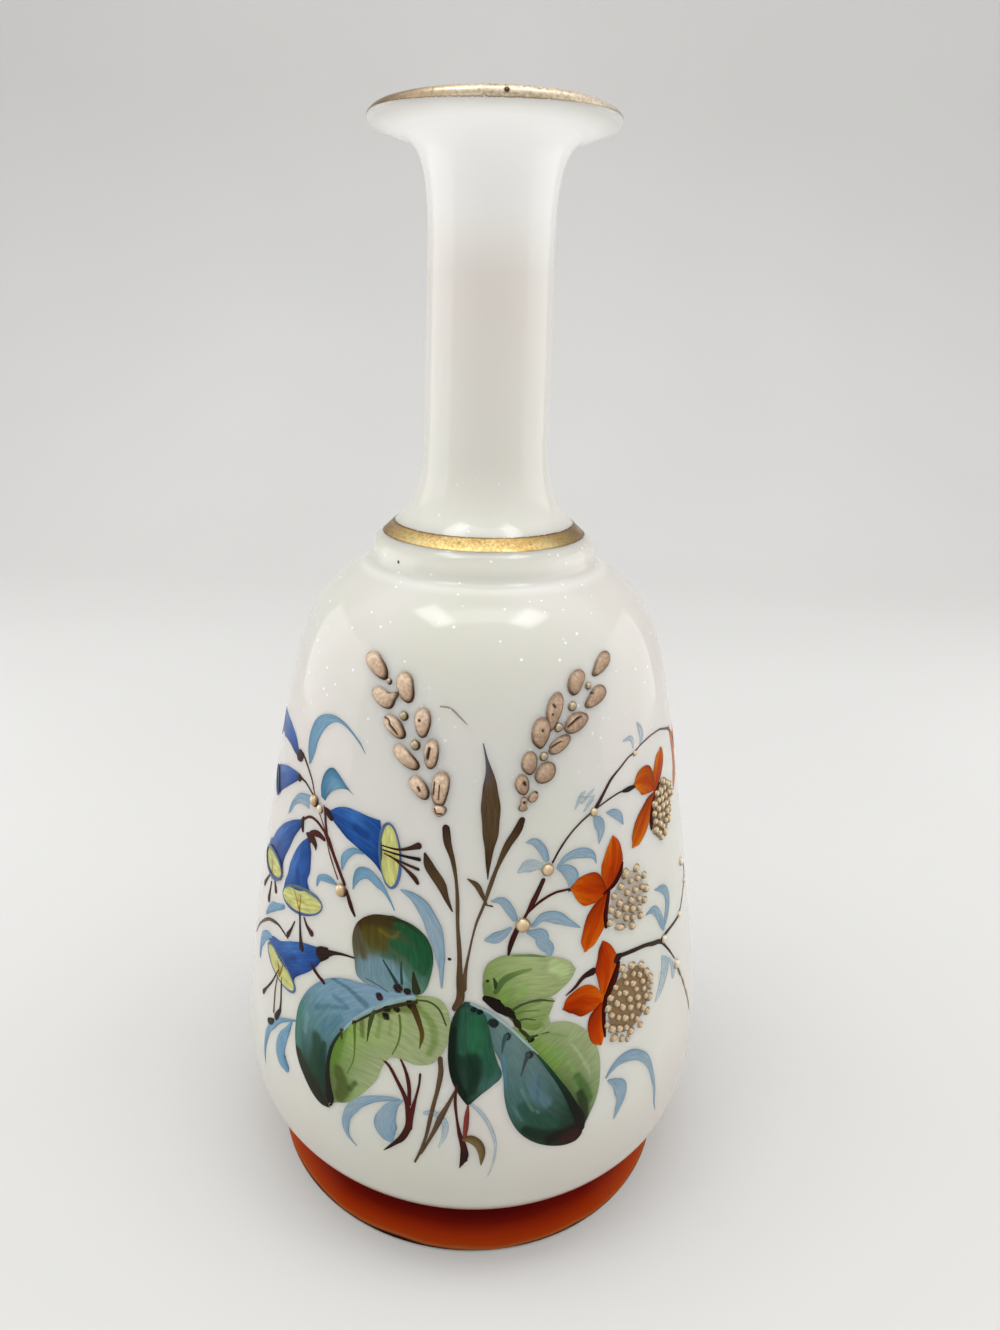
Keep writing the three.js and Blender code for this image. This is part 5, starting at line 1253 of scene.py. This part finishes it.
dome = unit_dome(48, 40)
wheat_enamel = enamel("wheat_enamel", roughness=0.42, depth=0.2, thin=0, relief=0.6, mottled=True)
# Tints for each ear: a painted lit side, a painted shaded far side and the line round the foot.
PASTE = {"left": ((238, 214, 188), (148, 116, 88), (58, 38, 24)),
         "right": ((206, 178, 152), (120, 90, 66), (48, 30, 20))}
ears = {
    "left": (
        ([(-26.2, 148.7), (-25.5, 149.8), (-23.8, 150.2), (-22.5, 149.9), (-21.6, 149),
          (-20.6, 147.9), (-20.1, 146.6), (-20.3, 145.6), (-21.2, 145.2), (-22.8, 145.6),
          (-24.5, 146.6), (-25.8, 147.7)],
         ()),
        ([(-18.1, 145.8), (-17.5, 147), (-16.5, 147.6), (-15.3, 147.5), (-14.4, 146.6),
          (-14.1, 145.2), (-13.9, 143.4), (-14.2, 142.3), (-15, 141.6), (-16.1, 141.8),
          (-17.1, 142.6), (-17.5, 143.7), (-18.1, 144.6)],
         ()),
        ([(-24.2, 142.4), (-23.6, 143.4), (-22.4, 143.8), (-20.6, 143.4), (-19.2, 143),
          (-17.7, 143.7), (-17.4, 142.9), (-18.1, 141.8), (-18.5, 140.7), (-19.2, 139.9),
          (-20.6, 139.7), (-22.1, 140.2), (-23.3, 141.1)],
         ()),
        ([(-21, 137.5), (-20.4, 138.5), (-19.4, 138.8), (-18.2, 138.5), (-17.1, 137.9),
          (-16.2, 136.7), (-15.6, 135.3), (-15.9, 134.4), (-17, 134.1), (-18.3, 134.5),
          (-19.7, 135.4), (-20.7, 136.5)],
         ([(-20.4, 138, 0.5), (-19.4, 137.7, 0.5), (-19, 136.7, 0.6), (-18.1, 135.9, 0.6),
           (-17.2, 135, 0.4)],)),
        ([(-13.8, 138.8), (-13.4, 140.2), (-12.5, 141.1), (-11.3, 141.2), (-10.4, 140.2),
          (-10.2, 138.6), (-10.5, 137), (-11.1, 135.6), (-12, 135), (-12.9, 135.5), (-13.5, 137)],
         ([(-12.5, 138.6, 0.7)],)),
        ([(-18.7, 131.6), (-18.1, 132.7), (-16.9, 133.1), (-15.6, 132.5), (-14.4, 131.5),
          (-13.2, 130.4), (-12.4, 129.3), (-12.8, 128.3), (-14, 128.1), (-15.6, 128.6),
          (-17.2, 129.7), (-18.2, 130.6)],
         ()),
        ([(-11.6, 132), (-11.3, 133.8), (-10.4, 135), (-9.3, 135.2), (-8.6, 134.4), (-8.4, 132.7),
          (-8.6, 130.9), (-9.1, 129.5), (-10, 128.8), (-10.9, 129.1), (-11.4, 130.4)],
         ([(-10.3, 133.2, 0.8), (-10.7, 131.1, 0.9)],)),
        ([(-14.9, 125.8), (-14.3, 126.7), (-13.1, 127.1), (-11.8, 126.5), (-10.7, 125.2),
          (-10.2, 123.7), (-10.7, 122.4), (-11.8, 122.3), (-13.1, 123.1), (-14.3, 124.4)],
         ([(-12.5, 124.8, 0.6), (-12.2, 124.2, 0.6)],)),
        ([(-9.9, 125), (-9.6, 126.7), (-9, 128), (-8, 128.7), (-6.8, 128.6), (-6, 127.4),
          (-6.1, 125.2), (-6.6, 123.1), (-7.2, 121.6), (-8.2, 121.3), (-9.2, 121.6), (-9.8, 123.3)],
         ([(-9.1, 126.4, 0.4), (-9.3, 123.8, 0.5)], [(-8, 125.8, 0.3), (-8.2, 122.8, 0.3)])),
        ([(-9.7, 120.9), (-9.1, 121.5), (-7.7, 121.6), (-6.6, 121.1), (-6.7, 120.1), (-7.5, 119.3),
          (-8.4, 119.1), (-9.3, 119.9)],
         ([(-9, 120.8, 0.4), (-8.6, 119.9, 0.4), (-7.6, 119.9, 0.4)],)),
    ),
    "right": (
        ([(24.6, 146.6), (25.3, 148.1), (26.5, 149.7), (28, 150.5), (29.3, 150.3), (30.1, 149.3),
          (29.8, 148.2), (28.6, 147.2), (26.8, 146.4), (25.3, 146.1)],
         ()),
        ([(18.5, 145.4), (18.8, 146.7), (19.8, 147.8), (21.2, 148.2), (22.4, 147.6), (22.8, 146.5),
          (22.1, 145), (21.1, 143.6), (20, 143.2), (18.9, 144)],
         ()),
        ([(22.8, 141.2), (23.7, 142.4), (24.7, 143.6), (25.8, 144.3), (27.1, 144.3), (28.4, 143.5),
          (28.7, 142.4), (27.7, 141.2), (26.1, 140.5), (24.3, 140.1), (23.1, 140.3)],
         ([(24, 143.3, 0.9), (24.6, 143, 0.5)],)),
        ([(13.8, 141.2), (14.2, 142.6), (15, 143.8), (16.1, 144.4), (17.1, 144.1), (17.6, 142.8),
          (17.4, 141), (16.9, 139.5), (16, 138.1), (15, 136.6), (14.5, 136.4), (14.1, 138),
          (13.8, 139.6)],
         ([(15.1, 142.1, 0.5), (15.5, 141.5, 0.6)], [(15, 140.1, 0.5)])),
        ([(10.7, 136.6), (11.1, 138.4), (12, 139.5), (13.4, 139.7), (14.5, 138.8), (14.8, 137.3),
          (14.5, 135.5), (13.7, 134), (12.9, 133.2), (11.8, 133.8), (10.9, 135)],
         ([(12.9, 137.1, 0.6)],)),
        ([(17.8, 136.8), (18.4, 138.4), (19.6, 139.5), (21.2, 139.8), (22.7, 139.5), (23.8, 138.5),
          (23.4, 137.3), (22, 136.2), (20.4, 135.6), (18.8, 135.8)],
         ([(18.6, 137.2, 0.5), (19.6, 137.9, 0.6), (20.7, 138.6, 0.7), (21.6, 138.9, 0.4)],)),
        ([(14.5, 132.5), (14.8, 133.8), (15.9, 134.9), (17.3, 135.5), (18.9, 135.6), (19.6, 134.8),
          (18.9, 133.4), (17.7, 132.4), (16.2, 131.8), (15, 131.9)],
         ([(15, 133.4, 0.4), (15.9, 134, 0.5), (17, 134.5, 0.3)],)),
        ([(8.7, 130.6), (9.1, 132), (10, 132.9), (11.2, 132.9), (12, 131.8), (12.1, 130.2),
          (11.7, 128.8), (10.7, 128), (9.6, 128.6), (8.9, 129.5)],
         ()),
        ([(11.6, 127.4), (12, 128.8), (13, 130), (14.4, 130.5), (15.7, 130.1), (16.3, 129),
          (16.1, 127.5), (15.2, 126.5), (13.7, 126), (12.3, 126.3)],
         ()),
        ([(7.4, 126.6), (7.9, 127.7), (8.9, 128.3), (10, 127.7), (10.5, 126.5), (10.5, 125),
          (9.8, 124), (8.8, 124.1), (7.9, 125)],
         ([(9.4, 126.6, 1), (9.6, 126.2, 0.6)],)),
        ([(10.3, 123), (10.8, 124), (11.8, 124.6), (12.5, 124.3), (12.5, 123.3), (11.8, 122.4),
          (10.8, 122.3)],
         ([(12.1, 124.4, 0.7)],)),
        ([(8.9, 123.2), (9.6, 123.7), (10.2, 123), (10, 121.7), (10.4, 121.1), (9.3, 120.5),
          (8.3, 121.1), (8.9, 122)],
         ([(9.5, 122.5, 0.8)],)),
    ),
}
for side, grains in ears.items():
    for number, (edge, dents) in enumerate(grains, 1):
        grain = lump(dome, edge, hand.uniform(0.8, 1), PASTE[side], 3.4, dents, 0.48)
        placed(joined(f"paste_grain_{side}_{number}", [grain]), wheat_enamel, f"wheat_grain_{side}_{number}")


# Gilt beads
# Round drops of gilded paste where the grains and the stems join.
gilt_bead = enamel("gilt_bead", roughness=0.28, depth=0.12, thin=0, relief=0.5, metallic=0.6)
# Tints of the beads: a painted lit side, a painted shaded far side and the line round the foot.
PEARL = ((240, 216, 178), (156, 122, 82), (46, 30, 18))
EAR_PEARL = ((218, 200, 168), (108, 86, 60), (46, 32, 22))
SIDE_PEARL = ((236, 226, 206), (196, 176, 150), (120, 98, 76))


def pebble(x, y, length, width, tilt=0.0):
    """The outline of an uneven round drop."""
    points = []
    for turn in np.linspace(math.pi, -math.pi, 10, endpoint=False):
        along = length / 2 * math.cos(turn) * hand.uniform(0.96, 1.04)
        across = width / 2 * math.sin(turn) * hand.uniform(0.96, 1.04)
        points.append(tilted(x, y, along, across, tilt))
    return points


beads = {
    "ear": (
        EAR_PEARL,
        0.6,
        ((-19.8, 145.2, 0.68), (-16.1, 138.95, 1), (-13.45, 133.4, 1.12), (23.7, 144.6, 0.75),
         (19.75, 141.15, 1.02), (16.6, 137.3, 1.02), (13.55, 131.65, 0.98)),
    ),
    "stem": (
        PEARL,
        0.72,
        ((-40.7, 114.5, 1.35), (-31.3, 97.8, 1.5), (15.3, 107.4, 1.35), (10.2, 95.8, 1.6),
         (26, 117.9, 0.9), (38.4, 127.3, 0.6)),
    ),
}
for group, (tints, edge_line, places) in beads.items():
    for number, (x, y, radius) in enumerate(places, 1):
        bead = lump(dome, pebble(x, y, 2 * radius, 2 * radius), radius * 0.85, tints, edge_line=edge_line)
        placed(joined(f"gilded_bead_{group}_{number}", [bead]), gilt_bead, f"gilt_bead_{group}_{number}")
placed(joined("side_pearls", [
    lump(dome, pebble(x, y, 2 * radius, 2 * radius), radius * 0.7, SIDE_PEARL)
    for x, y, radius in ((-38.7, 113.4, 1), (52.2, 79.5, 1), (59.7, 69.4, 1.2), (62, 80.6, 0.8),
                         (68.6, 85.6, 0.8), (65.2, 91.9, 1))]), gilt_bead)


# Seed heads
# Small gilded beads dotted by hand in loose rows. The lower head sits on a wash of brown paste,
# and on the others the brown only shows between the beads.
drop_dome = unit_dome(24, 20)
seed_heads = (
    ("upper", (51.2, 110.8, 10.8, 13, 12), (140, 114, 84, 0.62),
     ((48, 115.3), (50.1, 115), (51.6, 116.7), (46.8, 113.3), (48.9, 113.4), (52.4, 114.9), (54.6, 115),
      (46.7, 111.2), (48.7, 111.6), (50.6, 113.2), (52.9, 113), (55.3, 112.9), (57, 114), (47.3, 109.2),
      (49.3, 109.8), (51, 111.4), (53.4, 111.1), (55.7, 110.9), (57.4, 112), (47.5, 107.2),
      (49.5, 107.9), (51.4, 109.3), (53.8, 109.1), (55.8, 108.9), (49.3, 105.8), (51.2, 106.6),
      (53.2, 107.2), (54.9, 106.9), (50.6, 104.3), (52.4, 104.9))),
    ("middle", (37, 95.2, 10.8, 12.8, 0), (172, 146, 116, 0.3),
     ((35.8, 101.5), (39.6, 101.5), (34.6, 99), (37.7, 99.3), (40.2, 99), (42.6, 98.8), (32.5, 97.5),
      (36.6, 97), (39.4, 96.6), (41.8, 96.4), (34.3, 95.3), (38, 94.8), (40.7, 94.2), (43.4, 95.4),
      (31.8, 94.6), (36.2, 93.6), (33.9, 93), (38.6, 92.6), (43, 92.9), (41, 91.9), (31.5, 91.8),
      (36.6, 91.2), (38.9, 90.5), (41.5, 89.9), (34.8, 89.7), (38.7, 88.6))),
    ("lower", (38.8, 70.9, 13, 16.4, 0), (142, 114, 80, 0.85),
     ((35.8, 79.7), (39, 79.1), (42.3, 77.8), (36.6, 77.6), (39.6, 76.9), (34, 75.9), (37.4, 75.6),
      (41.8, 75.7), (44.4, 75.3), (32.6, 73.9), (35.2, 74), (39.6, 74.6), (43, 73.7), (45.9, 73.2),
      (37.2, 73.3), (40.8, 72.7), (32, 71.6), (34.6, 71.8), (38.6, 71.3), (43.6, 71.6), (46.3, 70.9),
      (36.4, 70.2), (41.4, 70.5), (33.2, 69.5), (39, 69.1), (44.4, 69.4), (31.9, 67.6), (35.3, 68.1),
      (41.7, 68.3), (46, 68.4), (37.4, 67.2), (33.6, 66), (39.6, 66.6), (43.6, 66.8), (35.8, 65.2),
      (41.6, 65), (45.2, 65.2), (37.9, 64.6), (34.2, 63.6), (39.6, 62.9), (42.9, 62.9), (36.6, 62.4),
      (38.6, 61.4))),
)
long_seed = (34.8, 89.7)
for name, (x, y, width, height, tilt), wash, seeds in seed_heads:
    pad = [(px + hand.uniform(-0.5, 0.5), py + hand.uniform(-0.5, 0.5))
           for px, py in pebble(x, y, width, height, tilt)]
    drops = [lump(drop_dome, pad, 0.1, (wash, wash, (*wash[:3], wash[3] * 0.5)), shade=0)]
    for seed in seeds:
        fine = hand.uniform(0.74, 1.02)
        long = 3.6 if seed == long_seed else 2 * fine * hand.uniform(1, 1.25)
        slant = -18 if seed == long_seed else hand.uniform(-60, 60)
        edge = pebble(*seed, long, 1.85 * fine, slant)
        # Each bead is painted lighter on its lit side and darker on its far side, as painted light and shade.
        drops.append(lump(drop_dome, edge, 0.85 * fine, PEARL, edge_line=0.5))
    placed(joined(f"gilded_seeds_{name}", drops), gilt_bead, f"seed_head_{name}")
bpy.data.objects.remove(dome)
bpy.data.objects.remove(drop_dome)
